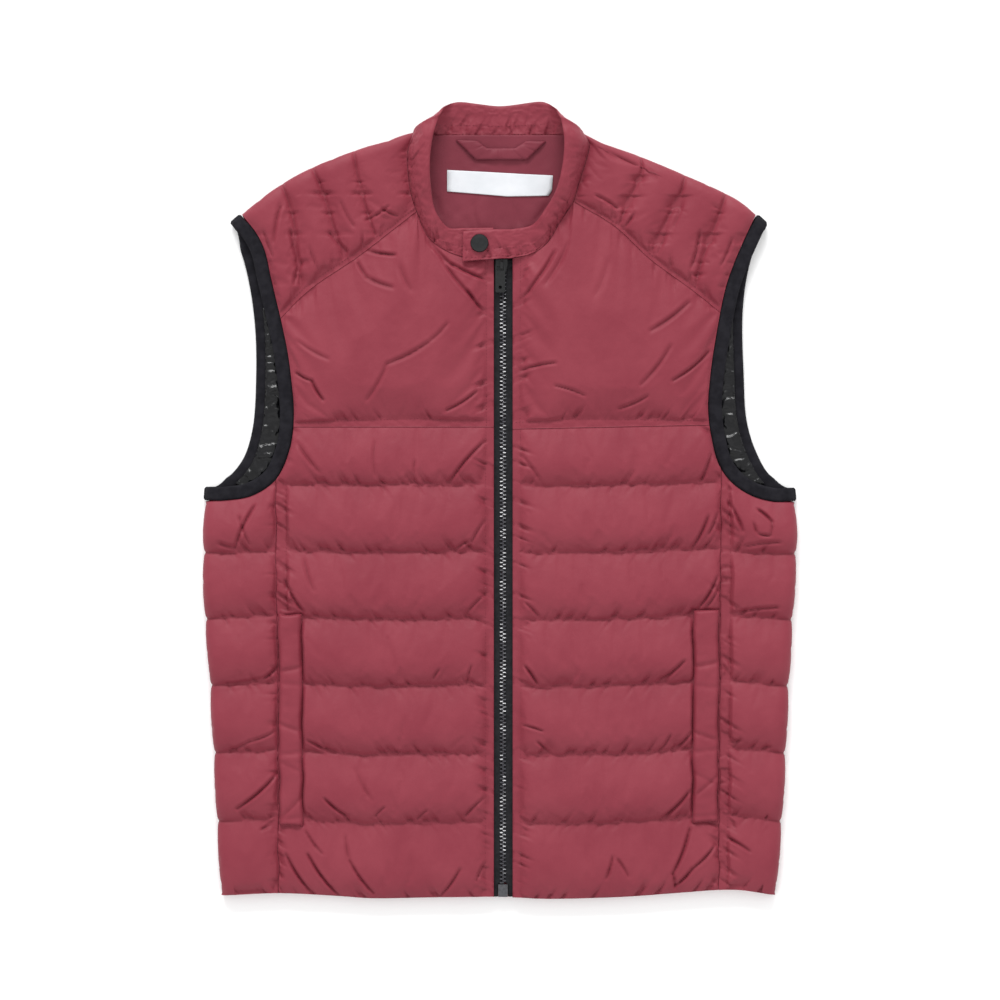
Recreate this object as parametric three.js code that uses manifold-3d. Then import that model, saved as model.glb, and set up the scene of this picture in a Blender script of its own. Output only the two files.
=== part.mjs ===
// Quilted puffer vest, laid flat on its back, zipped up, with the collar tab snapped.
// Millimetres. X runs to the viewer's right, Y up to the collar, Z up from the ground.
import * as THREE from 'three';
import { mergeVertices } from 'three/addons/utils/BufferGeometryUtils.js';
import loadManifold from 'manifold-3d';

// Heights of the layers above the ground, and the walls of the garment
const BACK_TOP = 6;
const SKIN_UNDER = 6.3;
const SKIN_WALL = 1.2;
const FRONT_INSIDE = 8;
const SEAM_WALL = 3;
const SEAM_GAP = 0.36;
const PIECE_GAP = 0.3;
const ZIP_TROUGH = { top: 4.2, from: -9, to: 14, slope: 6, beyond: 10 };

// Fold where a piece turns round to the back
const FOLD = {
  upper: 11, lower: 5, level: 0.47, scallop: 2.4, inside: 4.2, insideTurn: 2.6, insideLevel: 7,
};

// Armhole binding strip
const BINDING = {
  width: 11.8, frontWall: 3.4, backWall: 5.4, showsInside: 8.4, rounding: 1.2,
  frontGap: 0.45, turnGap: 1.05, backGap: 0.7, clothGap: 0.6,
};

// Zip along the centre front
const ZIP = {
  centre: 2.6, leftEdge: -5.3, rightEdge: 11, top: 213, bottom: -349.6,
  tapeUnder: 6.5, tapeWall: 1.2, tapeHidden: 9, chainWide: 6.2, chainUnder: 5.6, chainTop: 8.8,
};
const SLIDER = {
  x: 1.4, top: 212.2, length: 11.5, wide: 10.4, noseShare: 0.72, flareShare: 0.55,
  upper: 9.1, plate: 1.3, under: 4.5, underPlate: 0.8, postLength: 1.6, postWide: 3.4,
};
const BRIDGE = { wide: 2.6, reach: 3.9, wall: 1.1, above: 2.3, clear: 1.3, corner: 1.2, sunk: 0.4 };
const PULL = {
  x: 0.2, pivotY: 206.6, pivotZ: 11.9, wide: 8.6, length: 24, wall: 1.5, pin: 0.75, corner: 1.8,
  rail: 1.2, window: 4.9, hole: 1.5, holeFromEnd: 4.6,
};
const WELT = { clear: 0.4, wall: 1.4, crown: 5, radius: 10, rimIn: 2, overrun: 3 };
const BOX = { wide: 8.4, length: 11, under: 4.5, upper: 9.6 };
const SNAP = { x: -18, y: 225.4, radius: 8, wall: 2.6 };

// Lines across the front: chest seam, six quilting lines and the hem, with the crown of the channel below
const CHANNELS = [
  { y: 64.3, crown: 6.4 }, { y: 13.6, crown: 7.6 }, { y: -45.3, crown: 7.6 }, { y: -104.3, crown: 7.8 },
  { y: -163.2, crown: 7.8 }, { y: -223.1, crown: 7.4 }, { y: -283.8, crown: 5.6 }, { y: -349.8, crown: 0 },
];
const PLACKET = 7;
const CHEST_CROWN = 4.2;
const YOKE = { crown: 5.6, wide: 170 };
const BACK_SEAM = { x: 209, top: 32 };
const YOKE_SEAM_ON_BACK = { neckX: 58, neckY: 320, armholeY: 209 };
const SWAY = { share: 0.12, length: 31, turn: 0.35 };

// How far from each seam or end the padding reaches its full height
const PUFF = { zip: 16, princess: 13, chestTop: 13, chest: 12, yokeSeam: 14, yokeEnd: 10 };

// Outlines of the two halves on the plan
const LEFT = {
  sign: -1,
  zipEdge: ZIP.leftEdge,
  princessX: -195,
  yokeNeckY: 254,
  yokeArmholeY: 160,
  princessY: 18,
  // Shoulder fold, from the neck point out to the armhole
  shoulder: [
    { x: -75, y: 324.5 }, { x: -87.5, y: 321.2 }, { x: -125, y: 309 },
    { x: -165.5, y: 293 }, { x: -200, y: 273.4 }, { x: -227.6, y: 251.8 },
  ],
  // Edge of the front cloth round the armhole, down to the side fold
  armhole: [
    { x: -227.6, y: 251.8 }, { x: -214.8, y: 235.4 }, { x: -207.2, y: 220 }, { x: -201.5, y: 195.3 },
    { x: -188.1, y: 136 }, { x: -184.2, y: 109.6 }, { x: -181.5, y: 75.2 }, { x: -185.2, y: 44.5 },
    { x: -197.4, y: 18 }, { x: -218.6, y: 3.6 }, { x: -243.4, y: -0.6 }, { x: -259.8, y: -1.2 },
  ],
  // Outer edge of the binding on the back, down to the side fold
  backArmhole: [
    { x: -237.6, y: 244.2 }, { x: -224.4, y: 205 }, { x: -216.7, y: 159 }, { x: -215.2, y: 109.6 },
    { x: -218.6, y: 61.7 }, { x: -227.4, y: 35 }, { x: -243.4, y: 17.5 }, { x: -259.8, y: 11.4 },
  ],
  // Side fold, from the armhole to the hem
  side: [
    { x: -259.8, y: -1.2 }, { x: -261.6, y: -42 }, { x: -260.6, y: -97 }, { x: -256.9, y: -145 },
    { x: -252.9, y: -215 }, { x: -249.4, y: -288 }, { x: -245.8, y: -348.4 },
  ],
  // Collar seam, from the neck point to the zip
  neck: [
    { x: -75, y: 324.5 }, { x: -81.3, y: 307.6 }, { x: -81.6, y: 293.7 }, { x: -78.9, y: 272.4 },
    { x: -73.5, y: 254 }, { x: -61.2, y: 229.2 }, { x: -34, y: 214.3 }, { x: -5.3, y: 213.6 },
  ],
  // Points between the ends of the diagonal yoke seam
  yokeSeam: [{ x: -125.1, y: 214.1 }, { x: -168.3, y: 184.4 }],
  // Hem, from the zip to the princess seam and on to the side fold
  hem: [
    { x: -5.3, y: -349.4 }, { x: -55, y: -349.8 }, { x: -114, y: -350.6 }, { x: -143, y: -348.6 },
    { x: -195, y: -346.2 }, { x: -245.8, y: -348.4 },
  ],
  // Quilting lines on the yoke, as shares of the fold and of the seam, from the neck out
  yokeQuilts: [{ fold: 0.33, seam: 0.28 }, { fold: 0.56, seam: 0.5 }, { fold: 0.74, seam: 0.82 }],
  chestSeam: { zip: 64.3, armhole: 64.3 },
  welt: { top: -103.4, bottom: -287.3 },
};
const RIGHT = {
  sign: 1,
  zipEdge: ZIP.rightEdge,
  princessX: 192.4,
  yokeNeckY: 263,
  yokeArmholeY: 165,
  princessY: 27,
  shoulder: [
    { x: 71.4, y: 324.2 }, { x: 88.9, y: 316.4 }, { x: 129.4, y: 300.5 },
    { x: 164.6, y: 285.6 }, { x: 207.7, y: 265.3 }, { x: 225.6, y: 251.6 },
  ],
  armhole: [
    { x: 225.6, y: 251.6 }, { x: 215.6, y: 230.5 }, { x: 206.1, y: 208.6 }, { x: 198.4, y: 185.8 },
    { x: 188.9, y: 136.1 }, { x: 185.2, y: 109.6 }, { x: 183.2, y: 80.8 }, { x: 186, y: 56 },
    { x: 192.7, y: 31.2 }, { x: 204.2, y: 15.2 }, { x: 222, y: 3.5 }, { x: 241, y: -1.6 }, { x: 259.8, y: -2 },
  ],
  backArmhole: [
    { x: 234, y: 243 }, { x: 221.4, y: 212 }, { x: 214.4, y: 170 }, { x: 215.1, y: 109.6 },
    { x: 217.5, y: 71.3 }, { x: 225.2, y: 44.5 }, { x: 239, y: 21 }, { x: 259.8, y: 10.6 },
  ],
  side: [
    { x: 259.8, y: -2 }, { x: 261.6, y: -34 }, { x: 259.8, y: -80 }, { x: 256.6, y: -130 },
    { x: 253.4, y: -190 }, { x: 251.2, y: -240 }, { x: 247.4, y: -300 }, { x: 243, y: -348.2 },
  ],
  neck: [
    { x: 71.4, y: 324.2 }, { x: 78.6, y: 313.5 }, { x: 76.3, y: 300.5 }, { x: 70.8, y: 282.9 },
    { x: 64.6, y: 263 }, { x: 53.3, y: 245.3 }, { x: 42.6, y: 227.7 }, { x: 29, y: 217.2 }, { x: 11, y: 212.8 },
  ],
  yokeSeam: [{ x: 102.5, y: 239.8 }, { x: 132, y: 212.1 }, { x: 169.8, y: 184.4 }],
  hem: [
    { x: 11, y: -350 }, { x: 43, y: -351.2 }, { x: 108, y: -349.4 }, { x: 151, y: -346.4 },
    { x: 192.4, y: -343.4 }, { x: 212, y: -343.6 }, { x: 243, y: -348.2 },
  ],
  yokeQuilts: [{ fold: 0.33, seam: 0.28 }, { fold: 0.58, seam: 0.52 }, { fold: 0.81, seam: 0.82 }],
  chestSeam: { zip: 62.4, armhole: 66 },
  welt: { top: -100.8, bottom: -285.6 },
};

// Back neck seam between the two neck points
const BACK_NECK = [
  { x: -75, y: 324.5 }, { x: -58, y: 320 }, { x: -28, y: 319.4 }, { x: 0, y: 319.4 },
  { x: 28, y: 319.6 }, { x: 54.6, y: 320.4 }, { x: 71.4, y: 324.2 },
];

// Top edge of the collar: left front, back, right front
const OPENING = {
  left: [
    { x: -6, y: 239.8 }, { x: -32.8, y: 239.4 }, { x: -45, y: 239.4 }, { x: -52, y: 246 },
    { x: -57.2, y: 255.5 }, { x: -60.5, y: 275 }, { x: -61.2, y: 299.1 }, { x: -58.4, y: 319.4 }, { x: -53.8, y: 335.7 },
  ],
  back: [
    { x: -53.8, y: 335.7 }, { x: -46.8, y: 347 }, { x: -38, y: 350.9 }, { x: 0, y: 347.8 },
    { x: 39, y: 350.9 }, { x: 47.5, y: 345 }, { x: 53.3, y: 334 },
  ],
  right: [
    { x: 53.3, y: 334 }, { x: 56.1, y: 315.5 }, { x: 54.6, y: 293.7 }, { x: 49.3, y: 272.4 },
    { x: 40, y: 256 }, { x: 29, y: 242.5 }, { x: 11, y: 238 },
  ],
};

// The collar round the neck: middle of its wall at the seam, its rise to the top edge, its thickness,
// and how far its middle bulges out on the plan
const COLLAR = [
  { part: 'left', at: 0, low: 9.9, rise: 0.6, wall: 3.4, outX: 0, outY: 0 },
  { part: 'left', at: 0.22, low: 9.9, rise: 0.8, wall: 3.4, outX: 0, outY: 0 },
  { part: 'left', at: 0.42, low: 9.9, rise: 8, wall: 3.6, outX: 0, outY: 0 },
  { part: 'left', at: 0.7, low: 9.9, rise: 16, wall: 3.8, outX: 0, outY: 0 },
  { part: 'left', at: 0.9, low: 9.9, rise: 17, wall: 4, outX: 0, outY: 0 },
  { part: 'back', at: 0, low: 8.8, rise: 15, wall: 4, outX: -2, outY: 2 },
  { part: 'back', at: 0.08, low: 5.4, rise: 9, wall: 4.2, outX: -2.4, outY: 2.4 },
  { part: 'back', at: 0.18, low: 2.6, rise: 2.4, wall: 4.4, outX: -0.8, outY: 0.6 },
  { part: 'back', at: 0.3, low: 2.2, rise: 0, wall: 4.4, outX: 0, outY: 0 },
  { part: 'back', at: 0.7, low: 2.2, rise: 0, wall: 4.4, outX: 0, outY: 0 },
  { part: 'back', at: 0.82, low: 2.6, rise: 2.4, wall: 4.4, outX: 0.8, outY: 0.6 },
  { part: 'back', at: 0.92, low: 5.4, rise: 9, wall: 4.2, outX: 2, outY: 2 },
  { part: 'right', at: 0, low: 8.8, rise: 15, wall: 4, outX: 1, outY: 2 },
  { part: 'right', at: 0.12, low: 9.9, rise: 17, wall: 4, outX: 0, outY: 0 },
  { part: 'right', at: 0.4, low: 9.9, rise: 15, wall: 3.8, outX: 0, outY: 0 },
  { part: 'right', at: 0.72, low: 9.9, rise: 8, wall: 3.6, outX: 0, outY: 0 },
  { part: 'right', at: 0.9, low: 10.1, rise: 1.6, wall: 3.4, outX: 0, outY: 0 },
  { part: 'right', at: 1, low: 13, rise: 0.4, wall: 3.2, outX: 0, outY: 0 },
  { part: 'tab', at: 0.3, low: 16.1, rise: 0, wall: 3, outX: 0, outY: 0 },
  { part: 'tab', at: 1, low: 16.3, rise: 0, wall: 3, outX: 0, outY: 0 },
];
const TAB = {
  lower: [{ x: 11, y: 212.8 }, { x: -8, y: 211.6 }, { x: -33, y: 209.6 }],
  upper: [{ x: 11, y: 238 }, { x: -14, y: 237.4 }, { x: -32.4, y: 236 }],
};
const COLLAR_STEPS = { left: 16, back: 18, right: 14, tab: 5 };
const COLLAR_ROWS = [0, 0.3, 0.62, 0.88, 1];
const COLLAR_CLEAR = 0.75;

// Largest folds of the plain cloth: soft troughs from one point to another
const FOLDS = [
  { x0: -62, y0: 222, x1: -14, y1: 176, deep: 2.2, wide: 7 },
  { x0: -44, y0: 208, x1: -16, y1: 150, deep: 1.6, wide: 7 },
  { x0: -70, y0: 196, x1: -120, y1: 150, deep: 1.4, wide: 9 },
  { x0: -20, y0: 110, x1: -66, y1: 82, deep: 1.6, wide: 8 },
  { x0: -172, y0: 150, x1: -128, y1: 112, deep: 1.2, wide: 8 },
  { x0: 20, y0: 196, x1: 62, y1: 158, deep: 1.8, wide: 7 },
  { x0: 34, y0: 206, x1: 78, y1: 196, deep: 1.4, wide: 7 },
  { x0: 20, y0: 84, x1: 58, y1: 106, deep: 1.6, wide: 8 },
  { x0: 176, y0: 130, x1: 140, y1: 96, deep: 1.2, wide: 8 },
  { x0: -40, y0: -296, x1: -14, y1: -330, deep: 1.8, wide: 8 },
  { x0: -150, y0: -300, x1: -118, y1: -334, deep: 1.6, wide: 8 },
  { x0: 26, y0: -330, x1: 70, y1: -300, deep: 1.8, wide: 8 },
  { x0: 120, y0: -296, x1: 160, y1: -330, deep: 1.6, wide: 8 },
];

// Sampling of the grids, as shares of a length
const CHANNEL_SAMPLES = [0, 0.12, 0.36, 0.64, 0.88];
const FRONT_COLUMNS = [0, 0.042, 0.06, 0.1, 0.18, 0.3, 0.42, 0.54, 0.66, 0.78, 0.88, 0.94, 0.976, 0.994, 1];
const WELT_COLUMNS = { from: -5, to: -1 };
const YOKE_ROWS = [0, 0.04, 0.12, 0.28, 0.5, 0.7, 0.84];
const FOLD_TURN = [90, 60, 30, 0];

const lerp = THREE.MathUtils.lerp;
const clamp = THREE.MathUtils.clamp;
const smooth = THREE.MathUtils.smoothstep;

// Curves and samples on the plan
function planCurve(rows) {
  const points = rows.map((row) => new THREE.Vector3(row.x, row.y, 0));
  return new THREE.CatmullRomCurve3(points, false, 'centripetal');
}

function sample(curve, from, to, shares) {
  return shares.map((share) => curve.getPointAt(clamp(lerp(from, to, share), 0, 1)));
}

function even(count) {
  return Array.from({ length: count + 1 }, (_, i) => i / count);
}

// Share of the curve's length at which it first falls to the height y
function shareAtY(curve, y) {
  let low = 0;
  let high = 1;
  for (let i = 0; i < 40; i += 1) {
    const middle = (low + high) / 2;
    if (curve.getPointAt(middle).y > y) low = middle;
    else high = middle;
  }
  return low;
}

// Grid between four borders: first and last are its end rows, start and end its end columns
function patch(first, last, start, end, rowShares, columnShares) {
  return rowShares.map((v, i) => columnShares.map((u, j) => {
    const point = new THREE.Vector3();
    point.addScaledVector(first[j], 1 - v).addScaledVector(last[j], v);
    point.addScaledVector(start[i], 1 - u).addScaledVector(end[i], u);
    point.addScaledVector(first[0], -(1 - u) * (1 - v)).addScaledVector(first.at(-1), -u * (1 - v));
    point.addScaledVector(last[0], -(1 - u) * v).addScaledVector(last.at(-1), -u * v);
    return point;
  }));
}

// Draws a grid's rim in by half a seam gap, on the plan
function drawIn(grid, gap = SEAM_GAP / 2) {
  const rows = grid.length - 1;
  const columns = grid[0].length - 1;
  const move = (point, next) => {
    const step = next.clone().sub(point).setZ(0);
    return point.clone().addScaledVector(step.normalize(), gap * 1.25);
  };
  const out = grid.map((row) => row.map((point) => point.clone()));
  for (let j = 0; j <= columns; j += 1) {
    out[0][j] = move(out[0][j], grid[1][j]);
    out[rows][j] = move(out[rows][j], grid[rows - 1][j]);
  }
  for (let i = 0; i <= rows; i += 1) {
    out[i][0] = move(out[i][0], grid[i][1]);
    out[i][columns] = move(out[i][columns], grid[i][columns - 1]);
  }
  return out;
}

// Triangles to a closed geometry that faces outward
function solid(triangles) {
  const corners = [];
  let volume = 0;
  for (const [a, b, c] of triangles) {
    const area = b.clone().sub(a).cross(c.clone().sub(a));
    if (area.length() < 1e-7) continue;
    volume += a.dot(area);
    corners.push([a, b, c]);
  }
  const order = volume > 0 ? [0, 1, 2] : [0, 2, 1];
  const positions = corners.flatMap((corner) => order.flatMap((k) => corner[k].toArray()));
  const geometry = new THREE.BufferGeometry();
  geometry.setAttribute('position', new THREE.Float32BufferAttribute(positions, 3));
  geometry.computeVertexNormals();
  return geometry;
}

function gridTriangles(grid, flip) {
  const triangles = [];
  for (let i = 0; i + 1 < grid.length; i += 1) {
    for (let j = 0; j + 1 < grid[i].length; j += 1) {
      const [a, b, c, d] = [grid[i][j], grid[i + 1][j], grid[i + 1][j + 1], grid[i][j + 1]];
      triangles.push(flip ? [a, c, b] : [a, b, c], flip ? [a, d, c] : [a, c, d]);
    }
  }
  return triangles;
}

function rimOf(grid) {
  const right = grid.slice(1, -1).map((row) => row.at(-1));
  const left = grid.slice(1, -1).map((row) => row[0]);
  return [...grid[0], ...right, ...grid.at(-1).slice().reverse(), ...left.reverse()];
}

function band(upper, lower) {
  const triangles = [];
  upper.forEach((point, k) => {
    const next = (k + 1) % upper.length;
    triangles.push([point, upper[next], lower[next]], [point, lower[next], lower[k]]);
  });
  return triangles;
}

// Wall between an outer and an inner grid of the same size
function wall(outer, inner) {
  const faces = [...gridTriangles(outer, false), ...gridTriangles(inner, true)];
  return solid([...faces, ...band(rimOf(outer), rimOf(inner))]);
}

// Flat underside of a grid, in strips across it with a fan at each end row
function flatUnder(under) {
  const last = under.length - 1;
  const far = under[0].length - 1;
  const triangles = [];
  for (let j = 0; j < far; j += 1) {
    triangles.push([under[0][j], under[0][j + 1], under[1][0]]);
    triangles.push([under[last - 1][0], under[last][j + 1], under[last][j]]);
  }
  triangles.push([under[0][far], under[1][far], under[1][0]]);
  triangles.push([under[last - 1][0], under[last - 1][far], under[last][far]]);
  for (let i = 1; i + 1 < last; i += 1) {
    triangles.push([under[i][0], under[i + 1][far], under[i + 1][0]]);
    triangles.push([under[i][0], under[i][far], under[i + 1][far]]);
  }
  return triangles;
}

// Wall with a plain flat inside at one height
function plainWall(outer, inside) {
  const under = outer.map((row) => row.map((point) => point.clone().setZ(inside)));
  return solid([...gridTriangles(outer, false), ...flatUnder(under), ...band(rimOf(outer), rimOf(under))]);
}

// Height profiles of padded cloth
const arch = (share) => Math.sqrt(Math.max(0, 1 - (2 * clamp(share, 0, 1) - 1) ** 2));
const roundEdge = (distance, radius) => Math.sqrt(Math.max(0, 1 - (1 - clamp(distance / radius, 0, 1)) ** 2));

function foldDepth(x, y) {
  return FOLDS.reduce((sum, fold) => {
    const along = new THREE.Vector2(fold.x1 - fold.x0, fold.y1 - fold.y0);
    const from = new THREE.Vector2(x - fold.x0, y - fold.y0);
    const share = clamp(from.dot(along) / along.lengthSq(), 0, 1);
    const away = from.addScaledVector(along, -share).length() / fold.wide;
    return sum + fold.deep * Math.exp(-away * away) * (0.4 + 0.6 * arch(share));
  }, 0);
}

// Channel of a point that lies between two quilting lines, from its height on the plan
function channelAt(y) {
  const below = CHANNELS.findIndex((line) => line.y < y);
  const index = below < 0 ? CHANNELS.length - 2 : Math.max(0, below - 1);
  const { y: top, crown } = CHANNELS[index];
  return { share: (top - y) / (top - CHANNELS[index + 1].y), crown };
}

// Heights of the rows of a quilted piece, from the first line given down to the hem
function channelRows(top, firstLine) {
  const lines = [top, ...CHANNELS.slice(firstLine).map((line) => line.y)];
  const rows = [];
  for (let k = 0; k + 1 < lines.length; k += 1) {
    CHANNEL_SAMPLES.forEach((share) => rows.push(lerp(lines[k], lines[k + 1], share)));
  }
  return [...rows, lines.at(-1)];
}

// The curves of one half, and the points where its seams meet them
function outlineOf(half) {
  const armhole = planCurve(half.armhole);
  const neck = planCurve(half.neck);
  const neckCorner = shareAtY(neck, half.yokeNeckY);
  const yokeOut = shareAtY(armhole, half.yokeArmholeY);
  const seamEnds = [neck.getPointAt(neckCorner), armhole.getPointAt(yokeOut)];
  return {
    half, armhole, neck, neckCorner, yokeOut,
    chestOut: shareAtY(armhole, half.chestSeam.armhole),
    sideOut: shareAtY(armhole, half.princessY),
    shoulder: planCurve(half.shoulder),
    backArmhole: planCurve(half.backArmhole),
    side: planCurve(half.side),
    hem: planCurve(half.hem),
    yokeSeam: planCurve([seamEnds[0], ...half.yokeSeam, seamEnds[1]]),
  };
}

function hemShare(outline) {
  const { hem, half } = outline;
  return even(200).find((share) => Math.abs(hem.getPointAt(share).x) >= Math.abs(half.princessX));
}

// Lower front: from the zip out to the armhole and the princess seam, chest seam down to the hem
function frontPlan(outline) {
  const { half, armhole, chestOut, sideOut, hem } = outline;
  const rows = channelRows(CHANNELS[0].y, 1);
  const depth = rows[0] - rows.at(-1);
  const rowShares = rows.map((y) => (rows[0] - y) / depth);
  const columns = FRONT_COLUMNS;
  const hemOut = hemShare(outline);
  const outerTop = armhole.getPointAt(chestOut);
  const last = sample(hem, 0, hemOut, columns);
  const first = columns.map((u) => new THREE.Vector3(
    lerp(half.zipEdge, outerTop.x, u), lerp(half.chestSeam.zip, outerTop.y, u), 0));
  const corner = armhole.getPointAt(sideOut);
  const end = rowShares.map((v) => {
    const y = lerp(outerTop.y, last.at(-1).y, v);
    if (y >= corner.y) return armhole.getPointAt(shareAtY(armhole, y));
    const x = lerp(corner.x, last.at(-1).x, (corner.y - y) / (corner.y - last.at(-1).y));
    return new THREE.Vector3(x, y, 0);
  });
  const start = rowShares.map((v) => new THREE.Vector3(half.zipEdge, lerp(first[0].y, last[0].y, v), 0));
  return { grid: patch(first, last, start, end, rowShares, columns), rows };
}

function frontHeights({ grid, rows }) {
  return grid.map((line, i) => {
    const channel = channelAt(rows[i] + (i === rows.length - 1 ? 0.01 : 0));
    const start = line[0];
    const end = line.at(-1);
    return line.map((point) => {
      const fromZip = point.distanceTo(start) - PLACKET;
      const fromSide = point.distanceTo(end);
      const sway = 1 + SWAY.share * Math.sin(point.x / SWAY.length + i * SWAY.turn);
      const puff = channel.crown * arch(channel.share) * sway;
      const edges = roundEdge(fromZip, PUFF.zip) * roundEdge(fromSide, PUFF.princess);
      const deep = foldDepth(point.x, point.y) * edges;
      const height = Math.max(0, puff * edges - deep);
      return point.clone().setZ(FRONT_INSIDE + SEAM_WALL + height);
    });
  });
}

// Chest: below the yoke seam and the collar, above the chest seam, padded but not quilted
function chestPlan(outline, rowCount = 10) {
  const { half, armhole, neck, neckCorner, yokeOut, chestOut, yokeSeam } = outline;
  const alongYoke = yokeColumns(half).seam.slice().reverse();
  const seam = alongYoke.map((share) => yokeSeam.getPointAt(share));
  const round = sample(neck, neckCorner, 1, even(9)).slice(1);
  const first = [...seam, ...round];
  const spread = first.map((point) => (point.x - first[0].x) / (first.at(-1).x - first[0].x));
  const outer = armhole.getPointAt(chestOut);
  const last = spread.map((u) => new THREE.Vector3(
    lerp(outer.x, half.zipEdge, u), lerp(outer.y, half.chestSeam.zip, u), 0));
  const rows = [0, 0.035, 0.1, ...even(rowCount - 3).slice(1, -1).map((s) => 0.06 + 0.88 * s), 0.93, 0.975, 1];
  const start = sample(armhole, yokeOut, chestOut, rows);
  const end = rows.map((v) => new THREE.Vector3(half.zipEdge, lerp(first.at(-1).y, half.chestSeam.zip, v), 0));
  return patch(first, last, start, end, rows, spread);
}

function chestHeights(grid) {
  return grid.map((line, i) => line.map((point, j) => {
    const toTop = point.distanceTo(grid[0][j]) * 0.7;
    const toBottom = point.distanceTo(grid.at(-1)[j]);
    const toOuter = point.distanceTo(line[0]);
    const toZip = point.distanceTo(line.at(-1)) - PLACKET;
    const edges = roundEdge(toTop, PUFF.chestTop) * roundEdge(toBottom, PUFF.chest)
      * roundEdge(toOuter, PUFF.chest) * roundEdge(toZip, PUFF.chest);
    const height = Math.max(0, CHEST_CROWN * edges - foldDepth(point.x, point.y) * edges);
    return point.clone().setZ(FRONT_INSIDE + SEAM_WALL + height);
  }));
}

function makeChest(outline) {
  return plainWall(drawIn(chestHeights(chestPlan(outline))), FRONT_INSIDE);
}

// Upper and lower surface of a piece that turns round a fold, from the plan distance to the fold.
// Each entry pairs a point of the outer face with the point of the inner face behind it.
function foldSection(front, fold, back, heightAt) {
  const outer = front.map((point) => point.clone().setZ(heightAt(point)));
  const inner = front.map((point) => point.clone().setZ(FRONT_INSIDE));
  const inward = front.at(-1).clone().sub(fold).setZ(0).normalize();
  const backward = back[0].clone().sub(fold).setZ(0).normalize();
  const top = outer.at(-1).z;
  const level = top * FOLD.level;
  FOLD_TURN.forEach((degrees) => {
    const turn = THREE.MathUtils.degToRad(degrees);
    const away = FOLD.upper * (1 - Math.cos(turn));
    const deep = FOLD.inside + FOLD.insideTurn * (1 - Math.cos(turn));
    outer.push(fold.clone().addScaledVector(inward, away).setZ(level + (top - level) * Math.sin(turn)));
    const inside = lerp(FOLD.insideLevel, FRONT_INSIDE, Math.sin(turn));
    inner.push(fold.clone().addScaledVector(inward, deep).setZ(inside));
  });
  FOLD_TURN.slice(0, -1).reverse().forEach((degrees) => {
    const turn = THREE.MathUtils.degToRad(degrees);
    const away = FOLD.lower * (1 - Math.cos(turn));
    const deep = FOLD.inside + FOLD.insideTurn * (1 - Math.cos(turn));
    outer.push(fold.clone().addScaledVector(backward, away).setZ(level - level * Math.sin(turn)));
    const inside = lerp(FOLD.insideLevel, BACK_TOP, Math.sin(turn));
    inner.push(fold.clone().addScaledVector(backward, deep).setZ(inside));
  });
  back.forEach((point) => {
    outer.push(point.clone().setZ(0));
    inner.push(point.clone().setZ(BACK_TOP));
  });
  return { outer, inner };
}

// Yoke columns follow its quilting lines: shares of the fold and of the seam, from the neck out
function yokeColumns(half) {
  const lines = [{ fold: 0, seam: 0 }, ...half.yokeQuilts, { fold: 1, seam: 1 }];
  const bay = [0, 0.1, 0.33, 0.67, 0.9];
  const columns = { fold: [], seam: [], bay: [] };
  for (let k = 0; k + 1 < lines.length; k += 1) {
    bay.forEach((share) => {
      columns.fold.push(lerp(lines[k].fold, lines[k + 1].fold, share));
      columns.seam.push(lerp(lines[k].seam, lines[k + 1].seam, share));
      columns.bay.push(share);
    });
  }
  columns.fold.push(1);
  columns.seam.push(1);
  columns.bay.push(1);
  return columns;
}

// Edge of the back cloth at the armhole, beside its binding
function backEdge(outline, share) {
  const { backArmhole, half, shoulder, side } = outline;
  const point = backArmhole.getPointAt(share);
  const tangent = backArmhole.getTangentAt(share);
  const across = new THREE.Vector3(-tangent.y, tangent.x, 0).multiplyScalar(half.sign < 0 ? 1 : -1);
  const edge = point.addScaledVector(across, BINDING.width + BINDING.clothGap);
  const startPull = 1 - smooth(share, 0, 0.12);
  const endPull = smooth(share, 0.9, 1);
  return edge.lerp(shoulder.getPointAt(1), startPull).lerp(side.getPointAt(0), endPull);
}

function backShareAtY(outline, y) {
  return even(400).find((share) => backEdge(outline, share).y <= y);
}

function yokeBackSeam(outline) {
  const { half } = outline;
  const outer = backEdge(outline, backShareAtY(outline, YOKE_SEAM_ON_BACK.armholeY));
  const inner = new THREE.Vector3(half.sign * YOKE_SEAM_ON_BACK.neckX, YOKE_SEAM_ON_BACK.neckY, 0);
  return { inner, outer };
}

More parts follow.
